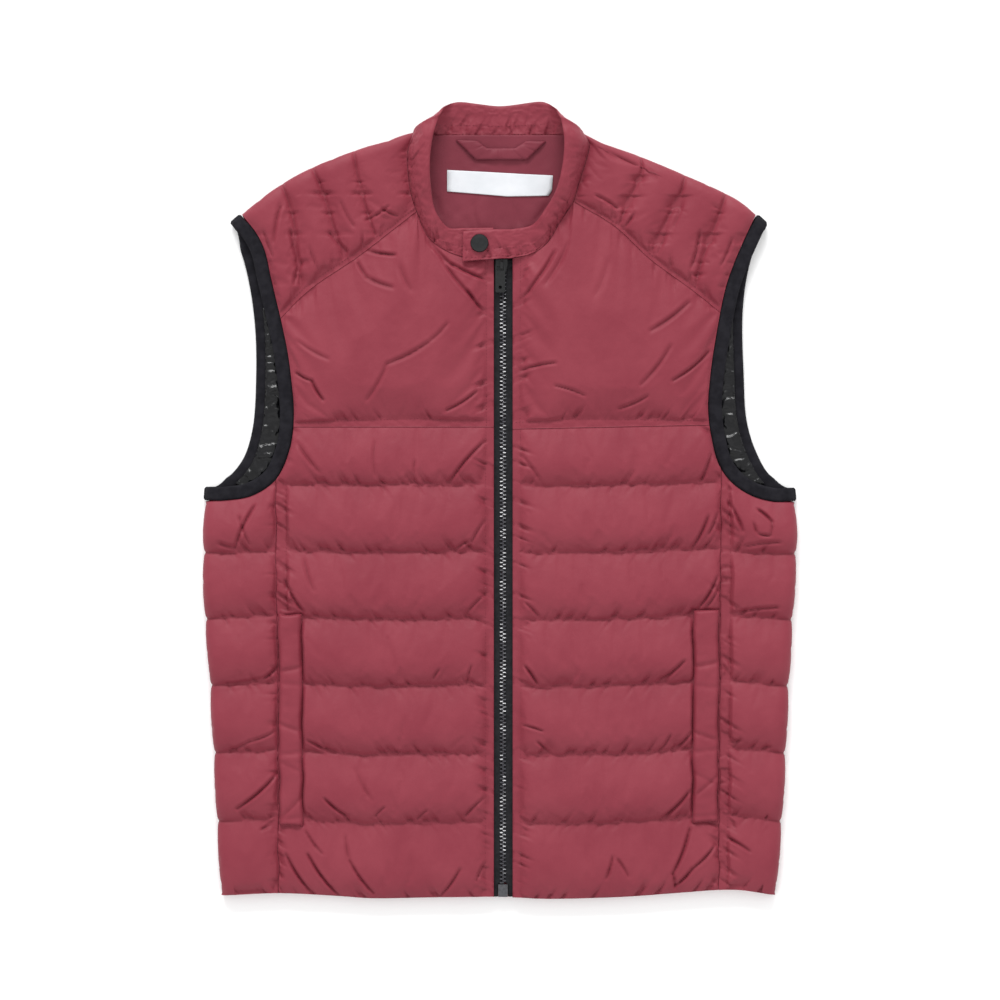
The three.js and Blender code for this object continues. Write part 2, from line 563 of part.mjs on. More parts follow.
function makeYoke(outline) {
  const { half, armhole, neck, neckCorner, yokeOut, shoulder, yokeSeam } = outline;
  const columns = yokeColumns(half);
  const along = columns.fold.map((share, j) => (share + columns.seam[j]) / 2);
  const first = columns.seam.map((share) => yokeSeam.getPointAt(share));
  const last = columns.fold.map((share) => shoulder.getPointAt(share));
  const rows = [...YOKE_ROWS, 1];
  const start = sample(neck, neckCorner, 0, rows);
  const end = sample(armhole, yokeOut, 0, rows);
  const plan = patch(first, last, start, end, rows, along);
  const seam = yokeBackSeam(outline);
  const backEnd = backShareAtY(outline, YOKE_SEAM_ON_BACK.armholeY);
  const backRows = [0, 0.45, 1];
  const backPlan = patch(
    last, columns.fold.map((share) => seam.inner.clone().lerp(seam.outer, share)),
    backRows.map((step) => last[0].clone().lerp(seam.inner, step)),
    backRows.map((step) => backEdge(outline, backEnd * step)), backRows, columns.fold);
  const sections = columns.fold.map((share, j) => {
    const fold = last[j];
    const front = plan.slice(0, -1).map((line) => line[j]);
    const back = backPlan.slice(1).map((line) => line[j]);
    const heightAt = (point) => {
      const toSeam = point.distanceTo(first[j]);
      const toEnd = Math.min(share, 1 - share) * YOKE.wide;
      const edge = roundEdge(toSeam, PUFF.yokeSeam) * roundEdge(toEnd, PUFF.yokeEnd);
      const quilt = arch(columns.bay[j]);
      return FRONT_INSIDE + SEAM_WALL + YOKE.crown * quilt * edge;
    };
    return foldSection(front, fold, back, heightAt);
  });
  return wall(drawIn(sections.map((s) => s.outer)), drawIn(sections.map((s) => s.inner)));
}

// Side panel: from the princess seam round the side fold to the seam on the back
function makeSide(outline) {
  const { half, armhole, sideOut, side, hem } = outline;
  const top = armhole.getPointAt(sideOut);
  const heights = channelRows(0, 2);
  const rowShares = heights.map((y) => (heights[0] - y) / (heights[0] - heights.at(-1)));
  const columns = [0, 0.035, 0.12, 0.28, 0.48, 0.68];
  const last = [...columns, 1];
  const hemOut = hemShare(outline);
  const start = rowShares.map((v) => {
    const y = lerp(top.y, hem.getPointAt(hemOut).y, v);
    return new THREE.Vector3(lerp(top.x, hem.getPointAt(hemOut).x, v), y, 0);
  });
  const folds = rowShares.map((v, i) => {
    const channel = channelAt(heights[i] + 0.01);
    const inFirst = heights[i] > CHANNELS[2].y;
    const share = inFirst ? (heights[0] - heights[i]) / (heights[0] - CHANNELS[2].y) : channel.share;
    const scallop = FOLD.scallop * (arch(share) - 0.75) * (v === 0 || v === 1 ? 0 : 1);
    const point = side.getPointAt(v);
    return { point: point.add(new THREE.Vector3(half.sign * scallop, 0, 0)), share, crown: channel.crown };
  });
  const end = folds.map((fold) => fold.point);
  const plan = patch(
    sample(armhole, sideOut, 1, last), sample(hem, hemOut, 1, last), start, end, rowShares, last);
  const backStart = backShareAtY(outline, BACK_SEAM.top);
  const backColumns = [0, 0.2, 0.4, 0.6, 0.8, 1];
  const seamTop = backEdge(outline, backStart);
  const seamEnd = new THREE.Vector3(half.sign * BACK_SEAM.x, hem.getPointAt(hemOut).y, 0);
  const backPlan = patch(
    backColumns.map((step) => backEdge(outline, lerp(1, backStart, step))),
    backColumns.map((step) => end.at(-1).clone().lerp(seamEnd, step)),
    end, rowShares.map((v) => seamTop.clone().lerp(seamEnd, v)), rowShares, backColumns);
  const sections = rowShares.map((v, i) => {
    const front = plan[i].slice(0, -1);
    const back = backPlan[i].slice(1);
    const heightAt = (point) => {
      const edge = roundEdge(point.distanceTo(start[i]), PUFF.princess);
      return FRONT_INSIDE + SEAM_WALL + folds[i].crown * arch(folds[i].share) * edge;
    };
    return foldSection(front, end[i], back, heightAt);
  });
  return wall(drawIn(sections.map((s) => s.outer)), drawIn(sections.map((s) => s.inner)));
}

// Flat piece of cloth from its outline
function plate(points, under, thickness) {
  const shape = new THREE.Shape(points.map((point) => new THREE.Vector2(point.x, point.y)));
  const geometry = new THREE.ExtrudeGeometry(shape, { depth: thickness, bevelEnabled: false });
  geometry.translate(0, 0, under);
  return geometry;
}

// Back panel: flat where it rests, with a trough where the zip presses into it
function makeBack([left, right]) {
  const down = new THREE.Vector3(0, -SEAM_GAP, 0);
  const edgeOf = (outline) => {
    const { sign } = outline.half;
    const from = backShareAtY(outline, YOKE_SEAM_ON_BACK.armholeY);
    const to = backShareAtY(outline, BACK_SEAM.top);
    const round = even(8).map((step) => backEdge(outline, lerp(from, to, step)));
    const hemY = outline.hem.getPointAt(hemShare(outline)).y;
    const points = [...round, new THREE.Vector3(sign * BACK_SEAM.x, hemY, 0)];
    return points.map((point) => point.add(new THREE.Vector3(-sign * SEAM_GAP, 0, 0)).add(down));
  };
  const neck = sample(planCurve(BACK_NECK), 0, 1, even(12));
  const between = neck.filter((point) => Math.abs(point.x) < YOKE_SEAM_ON_BACK.neckX - 2);
  const hem = [...left.half.hem.slice(0, 4).reverse(), ...right.half.hem.slice(0, 4)];
  const points = [
    yokeBackSeam(left).inner.add(down), ...edgeOf(left),
    ...hem.map((row) => new THREE.Vector3(row.x, row.y, 0)),
    ...edgeOf(right).reverse(), yokeBackSeam(right).inner.add(down),
    ...between.reverse().map((point) => point.add(down)),
  ];
  const trough = new THREE.Shape([
    new THREE.Vector2(ZIP_TROUGH.from, ZIP_TROUGH.top),
    new THREE.Vector2(ZIP_TROUGH.to, ZIP_TROUGH.top),
    new THREE.Vector2(ZIP_TROUGH.to + ZIP_TROUGH.slope, BACK_TOP + 1),
    new THREE.Vector2(ZIP_TROUGH.from - ZIP_TROUGH.slope, BACK_TOP + 1),
  ]);
  const length = ZIP.top - ZIP.bottom + 2 * ZIP_TROUGH.beyond;
  const cut = new THREE.ExtrudeGeometry(trough, { depth: length, bevelEnabled: false });
  cut.rotateX(Math.PI / 2).translate(0, ZIP.top + ZIP_TROUGH.beyond, 0);
  return combine('subtract', plate(points, 0, BACK_TOP), cut);
}

// Tube of sections round a closed loop
function closedTube(sections) {
  const triangles = [];
  sections.forEach((section, k) => {
    triangles.push(...band(section, sections[(k + 1) % sections.length]));
  });
  return solid(triangles);
}

// Section of a strip: wide across, thick along its normal, with rounded edges
function stripSection(middle, across, normal, wide, thick) {
  const round = Math.min(thick * 0.3, BINDING.rounding);
  const corners = [
    [wide / 2 - round, thick / 2], [wide / 2, thick / 2 - round],
    [wide / 2, round - thick / 2], [wide / 2 - round, -thick / 2],
    [round - wide / 2, -thick / 2], [-wide / 2, round - thick / 2],
    [-wide / 2, thick / 2 - round], [round - wide / 2, thick / 2],
  ];
  return corners.map(([a, n]) => middle.clone().addScaledVector(across, a).addScaledVector(normal, n));
}

// Binding round an armhole: down the front, round the side fold, up the back, round the shoulder fold
function makeBinding(outline) {
  const { half, armhole, shoulder, side } = outline;
  const up = new THREE.Vector3(0, 0, 1);
  const level = (FRONT_INSIDE + SEAM_WALL) * FOLD.level;
  const top = FRONT_INSIDE + BINDING.frontWall;
  const frontLength = armhole.getLength();
  const backLength = outline.backArmhole.getLength();
  const frontAcross = (share) => {
    const tangent = armhole.getTangentAt(share);
    return new THREE.Vector3(tangent.y, -tangent.x, 0).multiplyScalar(-half.sign);
  };
  const backAcross = (share) => outline.backArmhole.getPointAt(share).sub(backEdge(outline, share)).normalize();
  const place = (plan, across, z, normal, thick, gap) => {
    const middle = plan.clone().addScaledVector(across, gap + BINDING.width / 2).setZ(z);
    return stripSection(middle, across, normal, BINDING.width, thick);
  };
  const frontStation = (share) => {
    const z = FRONT_INSIDE + BINDING.frontWall / 2;
    return place(armhole.getPointAt(share), frontAcross(share), z, up, BINDING.frontWall, BINDING.frontGap);
  };
  const backStation = (share) => {
    const under = up.clone().negate();
    const z = BINDING.backWall / 2;
    return place(backEdge(outline, share), backAcross(share), z, under, BINDING.backWall, BINDING.backGap);
  };
  // Turn round a fold: degrees run from 90 on the front to -90 on the back
  const turnStation = (degrees, end, foldAcross) => {
    const turn = THREE.MathUtils.degToRad(degrees);
    const onFront = degrees >= 0;
    const thick = lerp(BINDING.backWall, BINDING.frontWall, (degrees + 90) / 180);
    const reach = (onFront ? FOLD.upper : FOLD.lower) - thick / 2;
    const away = thick / 2 + reach * (1 - Math.cos(turn));
    const length = onFront ? frontLength : backLength;
    const share = end === 1 ? 1 - away / length : away / length;
    const plan = onFront ? armhole.getPointAt(share) : backEdge(outline, share);
    const flatAcross = onFront ? frontAcross(share) : backAcross(share);
    const across = foldAcross.clone().lerp(flatAcross, Math.abs(Math.sin(turn))).normalize();
    const inward = new THREE.Vector3(across.y, -across.x, 0).multiplyScalar(end === 1 ? -half.sign : half.sign);
    const height = onFront ? top - thick / 2 - level : level - thick / 2;
    const normal = inward.multiplyScalar(-Math.cos(turn)).addScaledVector(up, Math.sin(turn)).normalize();
    return place(plan, across, level + height * Math.sin(turn), normal, thick, BINDING.turnGap);
  };
  const turns = [60, 30, 0, -30, -60];
  const sideAcross = side.getTangentAt(0).negate();
  const shoulderAcross = shoulder.getTangentAt(1);
  const front = even(24).map((step) => lerp(FOLD.upper / frontLength, 1 - FOLD.upper / frontLength, step));
  const back = even(16).map((step) => lerp(1 - FOLD.lower / backLength, FOLD.lower / backLength, step));
  return closedTube([
    ...front.map(frontStation),
    ...turns.map((degrees) => turnStation(degrees, 1, sideAcross)),
    ...back.map(backStation),
    ...turns.slice().reverse().map((degrees) => turnStation(degrees, 0, shoulderAcross)),
  ]);
}

// Lining that shows between the two edges of an armhole, lying on the back
function makeLining(outline) {
  const { half, armhole, backArmhole } = outline;
  const shares = { top: shareAtY(backArmhole, 168), bottom: shareAtY(backArmhole, 26) };
  const outer = even(8).map((step) => {
    const share = lerp(shares.top, shares.bottom, step);
    const tangent = backArmhole.getTangentAt(share);
    const inward = new THREE.Vector3(-tangent.y, tangent.x, 0).multiplyScalar(-half.sign);
    return backArmhole.getPointAt(share).addScaledVector(inward, BINDING.showsInside);
  });
  const inner = even(8).map((step) => {
    const share = lerp(shareAtY(armhole, 16), shareAtY(armhole, 172), step);
    const tangent = armhole.getTangentAt(share);
    const inward = new THREE.Vector3(-tangent.y, tangent.x, 0).multiplyScalar(-half.sign);
    return armhole.getPointAt(share).addScaledVector(inward, 6);
  });
  return plate([...outer, ...inner], SKIN_UNDER, SKIN_WALL);
}

// Outlines of the neck facing, its label and the hanger loop
const FACING = [
  { x: -56, y: 317 }, { x: -70, y: 311 }, { x: -83, y: 300 }, { x: -83, y: 280 }, { x: -76, y: 254 },
  { x: -62, y: 230 }, { x: -38, y: 220 }, { x: 36, y: 220 }, { x: 46, y: 230 }, { x: 58, y: 246 },
  { x: 70, y: 266 }, { x: 78, y: 290 }, { x: 80, y: 300 }, { x: 68, y: 311 }, { x: 52, y: 317 },
];
const LABEL = [
  { x: -46.6, y: 290.8 }, { x: -46.6, y: 271.9 }, { x: 6.2, y: 267.4 }, { x: 42.6, y: 268.1 },
  { x: 45.8, y: 272.9 }, { x: 46.6, y: 285.9 },
];
const LOOP = [
  { x: -38.9, y: 317 }, { x: -21.4, y: 299.8 }, { x: 23.8, y: 299.8 }, { x: 40.5, y: 316 },
  { x: 22.9, y: 316 }, { x: 13.2, y: 309.6 }, { x: -11.4, y: 309.6 }, { x: -20.2, y: 316.4 },
];
const ON_FACING = { under: SKIN_UNDER + SKIN_WALL + PIECE_GAP, label: 1, loop: 1.6 };

// Stand collar: an open strip from the left front edge round the neck to the end of its tab
function makeCollar([left, right]) {
  const lower = {
    left: sample(left.neck, 1, 0, even(COLLAR_STEPS.left)),
    back: sample(planCurve(BACK_NECK), 0, 1, even(COLLAR_STEPS.back)),
    right: sample(right.neck, 0, 1, even(COLLAR_STEPS.right)),
    tab: sample(planCurve(TAB.lower), 0, 1, even(COLLAR_STEPS.tab)),
  };
  const upper = {
    left: sample(planCurve(OPENING.left), 0, 1, even(COLLAR_STEPS.left)),
    back: sample(planCurve(OPENING.back), 0, 1, even(COLLAR_STEPS.back)),
    right: sample(planCurve(OPENING.right), 0, 1, even(COLLAR_STEPS.right)),
    tab: sample(planCurve(TAB.upper), 0, 1, even(COLLAR_STEPS.tab)),
  };
  const outer = [];
  const inner = [];
  const order = ['left', 'back', 'right', 'tab'];
  order.forEach((part, p) => {
    lower[part].forEach((seam, k) => {
      if (p > 0 && k === 0) return;
      const place = p + k / COLLAR_STEPS[part];
      const form = collarForm(place, order);
      const ahead = lower[part][Math.min(k + 1, COLLAR_STEPS[part])];
      const behind = lower[part][Math.max(k - 1, 0)];
      const along = ahead.clone().sub(behind).normalize();
      const clear = new THREE.Vector3(along.y, -along.x, 0);
      const inside = part === 'back' ? new THREE.Vector3(0, 1, 0) : clear;
      const nearBack = { left: smooth(place, 0.86, 1), right: 1 - smooth(place, 2, 2.14) }[part] ?? 0;
      inside.lerp(new THREE.Vector3(0, 1, 0), nearBack).normalize();
      const foot = seam.clone().addScaledVector(inside, part === 'tab' ? 0 : COLLAR_CLEAR);
      const faces = collarSection(foot, upper[part][k], form);
      outer.push(faces.outer);
      inner.push(faces.inner);
    });
  });
  return wall(outer, inner);
}

// Values of the collar table between two of its rows
function collarForm(place, order) {
  const rows = COLLAR.map((row) => ({ ...row, place: order.indexOf(row.part) + row.at }));
  const next = rows.findIndex((row) => row.place >= place - 1e-9);
  const high = rows[Math.max(next, 1)];
  const low = rows[Math.max(next, 1) - 1];
  const share = smooth(clamp((place - low.place) / (high.place - low.place), 0, 1), 0, 1);
  const form = {};
  ['low', 'rise', 'wall', 'outX', 'outY'].forEach((name) => {
    form[name] = lerp(low[name], high[name], share);
  });
  return form;
}

// One section of the collar, from the seam at its foot to its top edge
function collarSection(foot, edge, form) {
  const across = edge.clone().sub(foot).setZ(0);
  const wide = across.length();
  across.normalize();
  const steep = form.rise / (form.rise + wide * 0.6);
  const middle = (share) => new THREE.Vector2(
    wide * share ** (1 + 0.9 * steep), form.low + form.rise * Math.sin((share * Math.PI) / 2));
  const faces = { outer: [], inner: [] };
  const startNormal = normalAt(middle, 0);
  COLLAR_ROWS.forEach((share) => {
    const point = middle(share);
    const normal = normalAt(middle, share);
    const half = (form.wall / 2) * (share === 1 ? 0.72 : 1);
    const shift = Math.max(0, -startNormal.x) * (form.wall / 2) * (1 - share);
    const bulge = new THREE.Vector3(form.outX, form.outY, 0).multiplyScalar(arch(share) * (share < 1 ? 1 : 0));
    const put = (side) => {
      const reach = Math.max(point.x + normal.x * half * side + shift, 0);
      const z = Math.max(point.y + normal.y * half * side, 0);
      return foot.clone().addScaledVector(across, reach).add(bulge).setZ(z);
    };
    faces.outer.push(put(1));
    faces.inner.push(put(-1));
  });
  return faces;
}

function normalAt(middle, share) {
  const ahead = middle(Math.min(share + 0.02, 1));
  const tangent = ahead.sub(middle(Math.max(share - 0.02, 0))).normalize();
  return new THREE.Vector2(-tangent.y, tangent.x);
}

// Pocket welt: a strip of the front's own points beside the princess seam, moved out and flattened
function makeWelt(frontGrid, half) {
  const rows = frontGrid.filter((row) => {
    const { y } = row.at(-1);
    return y < half.welt.top + WELT.overrun && y > half.welt.bottom - WELT.overrun;
  });
  const strip = rows.map((row) => row.slice(WELT_COLUMNS.from, WELT_COLUMNS.to));
  const under = strip.map((row) => row.map((point) => point.clone().setZ(point.z + WELT.clear)));
  const outer = strip.map((row, i) => row.map((point, j) => {
    const atEnd = i === 0 || i === strip.length - 1;
    const fromSide = Math.min(j, row.length - 1 - j) === 0 ? WELT.rimIn : WELT.radius;
    const level = FRONT_INSIDE + SEAM_WALL + (atEnd ? 0 : WELT.crown * roundEdge(fromSide, WELT.radius));
    return point.clone().setZ(Math.max(point.z + WELT.clear, level) + WELT.wall);
  }));
  return wall(outer, under);
}

// Booleans on closed solids
const manifold = await loadManifold();
manifold.setup();

function toManifold(geometry) {
  const bare = new THREE.BufferGeometry();
  bare.setAttribute('position', geometry.getAttribute('position').clone());
  if (geometry.index) bare.setIndex(geometry.index.clone());
  const merged = mergeVertices(bare, 1e-4);
  const mesh = new manifold.Mesh({
    numProp: 3,
    vertProperties: new Float32Array(merged.getAttribute('position').array),
    triVerts: new Uint32Array(merged.index.array),
  });
  return new manifold.Manifold(mesh);
}

function combine(action, first, ...others) {
  const result = others.reduce((whole, geometry) => whole[action](toManifold(geometry)), toManifold(first));
  const mesh = result.getMesh();
  const geometry = new THREE.BufferGeometry();
  geometry.setAttribute('position', new THREE.BufferAttribute(new Float32Array(mesh.vertProperties), 3));
  geometry.setIndex(new THREE.BufferAttribute(new Uint32Array(mesh.triVerts), 1));
  const flat = geometry.toNonIndexed();
  flat.computeVertexNormals();
  return flat;
}

function block(x0, x1, y0, y1, z0, z1) {
  const geometry = new THREE.BoxGeometry(x1 - x0, y1 - y0, z1 - z0);
  return geometry.translate((x0 + x1) / 2, (y0 + y1) / 2, (z0 + z1) / 2);
}

// Zip slider: two plates joined at the top by its post, with an arched bridge for the pull
function makeSlider() {
  const { x } = SLIDER;
  const half = SLIDER.wide / 2;
  const nose = half * SLIDER.noseShare;
  const flare = SLIDER.length * SLIDER.flareShare;
  const upperTop = SLIDER.upper + SLIDER.plate;
  const outline = new THREE.Shape();
  outline.moveTo(-nose, 0).lineTo(nose, 0).lineTo(half, flare).lineTo(half, SLIDER.length);
  outline.lineTo(-half, SLIDER.length).lineTo(-half, flare);
  const plateAt = (z, thick) => new THREE.ExtrudeGeometry(outline, { depth: thick, bevelEnabled: false })
    .translate(x, SLIDER.top - SLIDER.length, z);
  const post = block(x - SLIDER.postWide / 2, x + SLIDER.postWide / 2,
    SLIDER.top - SLIDER.postLength, SLIDER.top, SLIDER.under, upperTop);
  return combine('add', plateAt(SLIDER.upper, SLIDER.plate), plateAt(SLIDER.under, SLIDER.underPlate),
    post, makeBridge(PULL.pivotZ - upperTop).translate(x - BRIDGE.wide / 2, PULL.pivotY, upperTop));
}

// Arch over the pivot of the pull, standing on the slider's upper plate
function makeBridge(pivotUp) {
  const { reach, wall: thick, corner, sunk } = BRIDGE;
  const rise = pivotUp + BRIDGE.above;
  const inside = pivotUp + BRIDGE.clear;
  const arc = new THREE.Shape();
  arc.moveTo(-reach, -sunk).lineTo(-reach, rise - corner).lineTo(corner - reach, rise);
  arc.lineTo(reach - corner, rise).lineTo(reach, rise - corner).lineTo(reach, -sunk);
  arc.lineTo(reach - thick, -sunk).lineTo(reach - thick, inside);
  arc.lineTo(thick - reach, inside).lineTo(thick - reach, -sunk);
  const bridge = new THREE.ExtrudeGeometry(arc, { depth: BRIDGE.wide, bevelEnabled: false });
  return bridge.rotateX(Math.PI / 2).rotateZ(Math.PI / 2);
}

// Pull tab: a plate with a window for the bridge, a crossbar at its pivot and a hole near its end
function makePull() {
  const half = PULL.wide / 2;
  const { length, corner } = PULL;
  const shape = new THREE.Shape();
  shape.moveTo(-half, PULL.pin).lineTo(-half, corner - length);
  shape.quadraticCurveTo(-half, -length, corner - half, -length).lineTo(half - corner, -length);
  shape.quadraticCurveTo(half, -length, half, corner - length).lineTo(half, PULL.pin);
  const window = new THREE.Path();
  const inner = half - PULL.rail;
  window.moveTo(-inner, -PULL.pin).lineTo(-inner, -PULL.window);
  window.lineTo(inner, -PULL.window).lineTo(inner, -PULL.pin);
  const hole = new THREE.Path();
  hole.absarc(0, PULL.holeFromEnd - length, PULL.hole, 0, 2 * Math.PI, true);
  shape.holes.push(window, hole);
  const across = { depth: PULL.wall, bevelEnabled: false, curveSegments: 10 };
  const geometry = new THREE.ExtrudeGeometry(shape, across);
  return geometry.translate(0, 0, -PULL.wall / 2);
}

// Zip tape of one side: from the teeth, cut away round the bottom box, to under the front
function makeTape(half) {
  const hidden = half.zipEdge + half.sign * ZIP.tapeHidden;
  const besideChain = ZIP.centre + half.sign * (ZIP.chainWide / 2 + PIECE_GAP);
  const besideBox = ZIP.centre + half.sign * (BOX.wide / 2 + PIECE_GAP);
  const aboveBox = ZIP.bottom + BOX.length + PIECE_GAP;
  const top = ZIP.top - 1;
  return plate([
    { x: hidden, y: ZIP.bottom }, { x: besideBox, y: ZIP.bottom }, { x: besideBox, y: aboveBox },
    { x: besideChain, y: aboveBox }, { x: besideChain, y: top }, { x: hidden, y: top },
  ], ZIP.tapeUnder, ZIP.tapeWall);
}

// Snap cap: a low dome
function makeSnap() {
  const profile = [
    new THREE.Vector2(0, 0), new THREE.Vector2(SNAP.radius, 0),
    new THREE.Vector2(SNAP.radius, SNAP.wall * 0.45),
    new THREE.Vector2(SNAP.radius * 0.93, SNAP.wall * 0.8), new THREE.Vector2(SNAP.radius * 0.6, SNAP.wall),
    new THREE.Vector2(0, SNAP.wall * 0.92),
  ];
  return new THREE.LatheGeometry(profile, 28).rotateX(Math.PI / 2);
}

const COLOUR = {
  cloth: 0x994552, facing: 0x873c4a, binding: 0x28272b, lining: 0x1b1a1e,
  zip: 0x1d1d20, metal: 0x17181a, label: 0xeef0f3,
};

function piece(name, geometry, colour = COLOUR.cloth, roughness = 0.62, metalness = 0) {
  const material = new THREE.MeshStandardMaterial({ color: colour, roughness, metalness });
  const mesh = new THREE.Mesh(geometry, material);
  mesh.name = name;
  return mesh;
}

const halves = [outlineOf(LEFT), outlineOf(RIGHT)];
const vest = new THREE.Group();
vest.add(piece('back_panel', makeBack(halves)));
vest.add(piece('collar', makeCollar(halves)));
vest.add(piece('neck_facing', plate(FACING, SKIN_UNDER, SKIN_WALL), COLOUR.facing));
vest.add(piece('neck_label', plate(LABEL, ON_FACING.under, ON_FACING.label), COLOUR.label, 0.7));
vest.add(piece('hanger_loop', plate(LOOP, ON_FACING.under, ON_FACING.loop)));
halves.forEach((outline) => {
  const { half } = outline;
  const end = half.sign < 0 ? 'left' : 'right';
  const front = frontHeights(frontPlan(outline));
  vest.add(piece(`front_${end}`, plainWall(drawIn(front), FRONT_INSIDE)));
  vest.add(piece(`welt_${end}`, makeWelt(front, half)));
  vest.add(piece(`chest_${end}`, makeChest(outline)));
  vest.add(piece(`yoke_${end}`, makeYoke(outline)));
  vest.add(piece(`side_${end}`, makeSide(outline)));
  vest.add(piece(`binding_${end}`, makeBinding(outline), COLOUR.binding, 0.85));
  vest.add(piece(`lining_${end}`, makeLining(outline), COLOUR.lining, 0.3));
  vest.add(piece(`zip_tape_${end}`, makeTape(half), COLOUR.zip, 0.9));
});

const chainHalf = ZIP.chainWide / 2;
const boxHalf = BOX.wide / 2;
const boxTopY = ZIP.bottom + BOX.length;
const chainTopY = SLIDER.top - SLIDER.postLength - PIECE_GAP;
vest.add(piece('zip_chain', block(ZIP.centre - chainHalf, ZIP.centre + chainHalf,
  boxTopY + PIECE_GAP, chainTopY, ZIP.chainUnder, ZIP.chainTop), COLOUR.zip, 0.45));
vest.add(piece('zip_box', block(ZIP.centre - boxHalf, ZIP.centre + boxHalf, ZIP.bottom, boxTopY,
  BOX.under, BOX.upper), COLOUR.zip, 0.45));
vest.add(piece('zip_slider', makeSlider(), COLOUR.metal, 0.35, 0.6));
const pull = piece('zip_pull', makePull(), COLOUR.metal, 0.35, 0.6);
pull.position.set(PULL.x, PULL.pivotY, PULL.pivotZ);
vest.add(pull);
const snap = piece('snap_cap', makeSnap(), COLOUR.metal, 0.4, 0.5);
const tabEnd = COLLAR.at(-1);
snap.position.set(SNAP.x, SNAP.y, tabEnd.low + tabEnd.wall / 2 + PIECE_GAP);
vest.add(snap);

export default vest;
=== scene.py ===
"""Quilted puffer vest laid flat on its back, zipped up, with the collar tab snapped.

Lengths are millimetres until a mesh is made. X runs to the viewer's right, Y up to the collar,
Z up from the ground. Left and right are the viewer's.
"""
import math

import bpy
import numpy as np
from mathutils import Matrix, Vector


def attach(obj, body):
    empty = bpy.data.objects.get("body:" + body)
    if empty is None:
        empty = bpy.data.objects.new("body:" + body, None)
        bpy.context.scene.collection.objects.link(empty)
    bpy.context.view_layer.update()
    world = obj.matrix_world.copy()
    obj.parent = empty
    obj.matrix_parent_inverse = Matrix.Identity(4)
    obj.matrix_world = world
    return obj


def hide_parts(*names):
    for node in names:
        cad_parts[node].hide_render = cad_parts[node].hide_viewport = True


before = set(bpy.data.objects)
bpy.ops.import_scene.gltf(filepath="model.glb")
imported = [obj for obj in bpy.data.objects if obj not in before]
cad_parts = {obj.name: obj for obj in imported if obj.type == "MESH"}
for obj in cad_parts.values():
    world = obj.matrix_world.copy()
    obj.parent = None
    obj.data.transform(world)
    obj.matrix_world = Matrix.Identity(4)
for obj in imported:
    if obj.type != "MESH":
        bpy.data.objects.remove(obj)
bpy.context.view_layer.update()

MM = 0.001
# Distance between the points that settle. The outer side that shows is twice as fine
STEP = 2.4

# Layers above the ground
BACK_TOP = 6.0
SKIN_UNDER = 6.3
SKIN_WALL = 1.2
FRONT_INSIDE = 8.0
SEAM_TOP = 11.0
SEAM_GAP = 0.36
SEAM_DRAW_IN = 0.108
PIECE_GAP = 0.3

# Fold where a piece turns round to the back
FOLD_UPPER = 11.0
FOLD_LOWER = 5.0
FOLD_INSIDE = 4.2
FOLD_INSIDE_TURN = 2.6
FOLD_INSIDE_LEVEL = 7.0
FOLD_LEVEL = 0.47
FOLD_SCALLOP = 2.4

# Armhole binding
BINDING_WIDTH = 11.8
BINDING_FRONT_WALL = 3.4
BINDING_BACK_WALL = 5.4
BINDING_FRONT_GAP = 0.45
BINDING_TURN_GAP = 1.05
BINDING_BACK_GAP = 0.7
CLOTH_GAP = 0.6
LINING_FROM_BACK_EDGE = 8.4
LINING_UNDER_FRONT = 6.0

# Quilting lines from the chest seam to the hem, and the height of the channel below each
LINE_Y = (64.3, 13.6, -45.3, -104.3, -163.2, -223.1, -283.8, -349.8)
LINE_CROWN = (6.2, 7.2, 7.2, 7.4, 7.4, 7.0, 5.2)
LEAN = 1.2
# Depth of puckers, depth of all folds against the tables, and width of creases against the tables
GATHER = 2.2
FOLD_DEPTH = 1.5
CREASE_WIDTH = 0.4
LINE_WOBBLE = 0.9
SEAM_WOBBLE = 1.0
PLACKET = 7.0
CHEST_CROWN = 3.6
CHEST_TOPSTITCH = 6.0
YOKE_CROWN = 5.0
YOKE_TOPSTITCH = 5.0
PRINCESS_TOPSTITCH = 8.5
BACK_SEAM_X = 209.0
BACK_SEAM_TOP = 32.0
BACK_YOKE_NECK = (58.0, 320.0)
BACK_YOKE_ARMHOLE_Y = 209.0

ZIP_X = 2.6
CHAIN_WIDE = 6.2

# Points are (x, y)
LEFT = {
    "name": "left", "sign": -1, "zip": -5.3, "princess_x": -195.0,
    "yoke_neck_y": 254.0, "yoke_armhole_y": 160.0, "princess_y": 18.0,
    "chest_seam": (64.3, 64.3), "welt": (-103.4, -287.3), "welt_columns": (0.885, 0.992),
    "shoulder": [(-75, 324.5), (-87.5, 321.2), (-125, 309), (-165.5, 293), (-200, 273.4), (-227.6, 251.8)],
    "armhole": [
        (-227.6, 251.8), (-214.8, 235.4), (-207.2, 220), (-201.5, 195.3), (-188.1, 136), (-184.2, 109.6),
        (-181.5, 75.2), (-185.2, 44.5), (-197.4, 18), (-218.6, 3.6), (-243.4, -0.6), (-259.8, -1.2)],
    "back_armhole": [
        (-237.6, 244.2), (-224.4, 205), (-216.7, 159), (-215.2, 109.6),
        (-218.6, 61.7), (-227.4, 35), (-243.4, 17.5), (-259.8, 11.4)],
    "side": [
        (-259.8, -1.2), (-261.6, -42), (-260.6, -97), (-256.9, -145),
        (-252.9, -215), (-249.4, -288), (-245.8, -348.4)],
    "neck": [
        (-75, 324.5), (-81.3, 307.6), (-81.6, 293.7), (-78.9, 272.4),
        (-73.5, 254), (-61.2, 229.2), (-34, 214.3), (-5.3, 213.6)],
    "yoke_seam": [(-125.1, 214.1), (-168.3, 184.4)],
    "hem": [(-5.3, -349.4), (-55, -349.8), (-114, -350.6), (-143, -348.6), (-195, -346.2), (-245.8, -348.4)],
    "yoke_quilts": [(0.33, 0.28), (0.56, 0.5), (0.74, 0.82)],
}
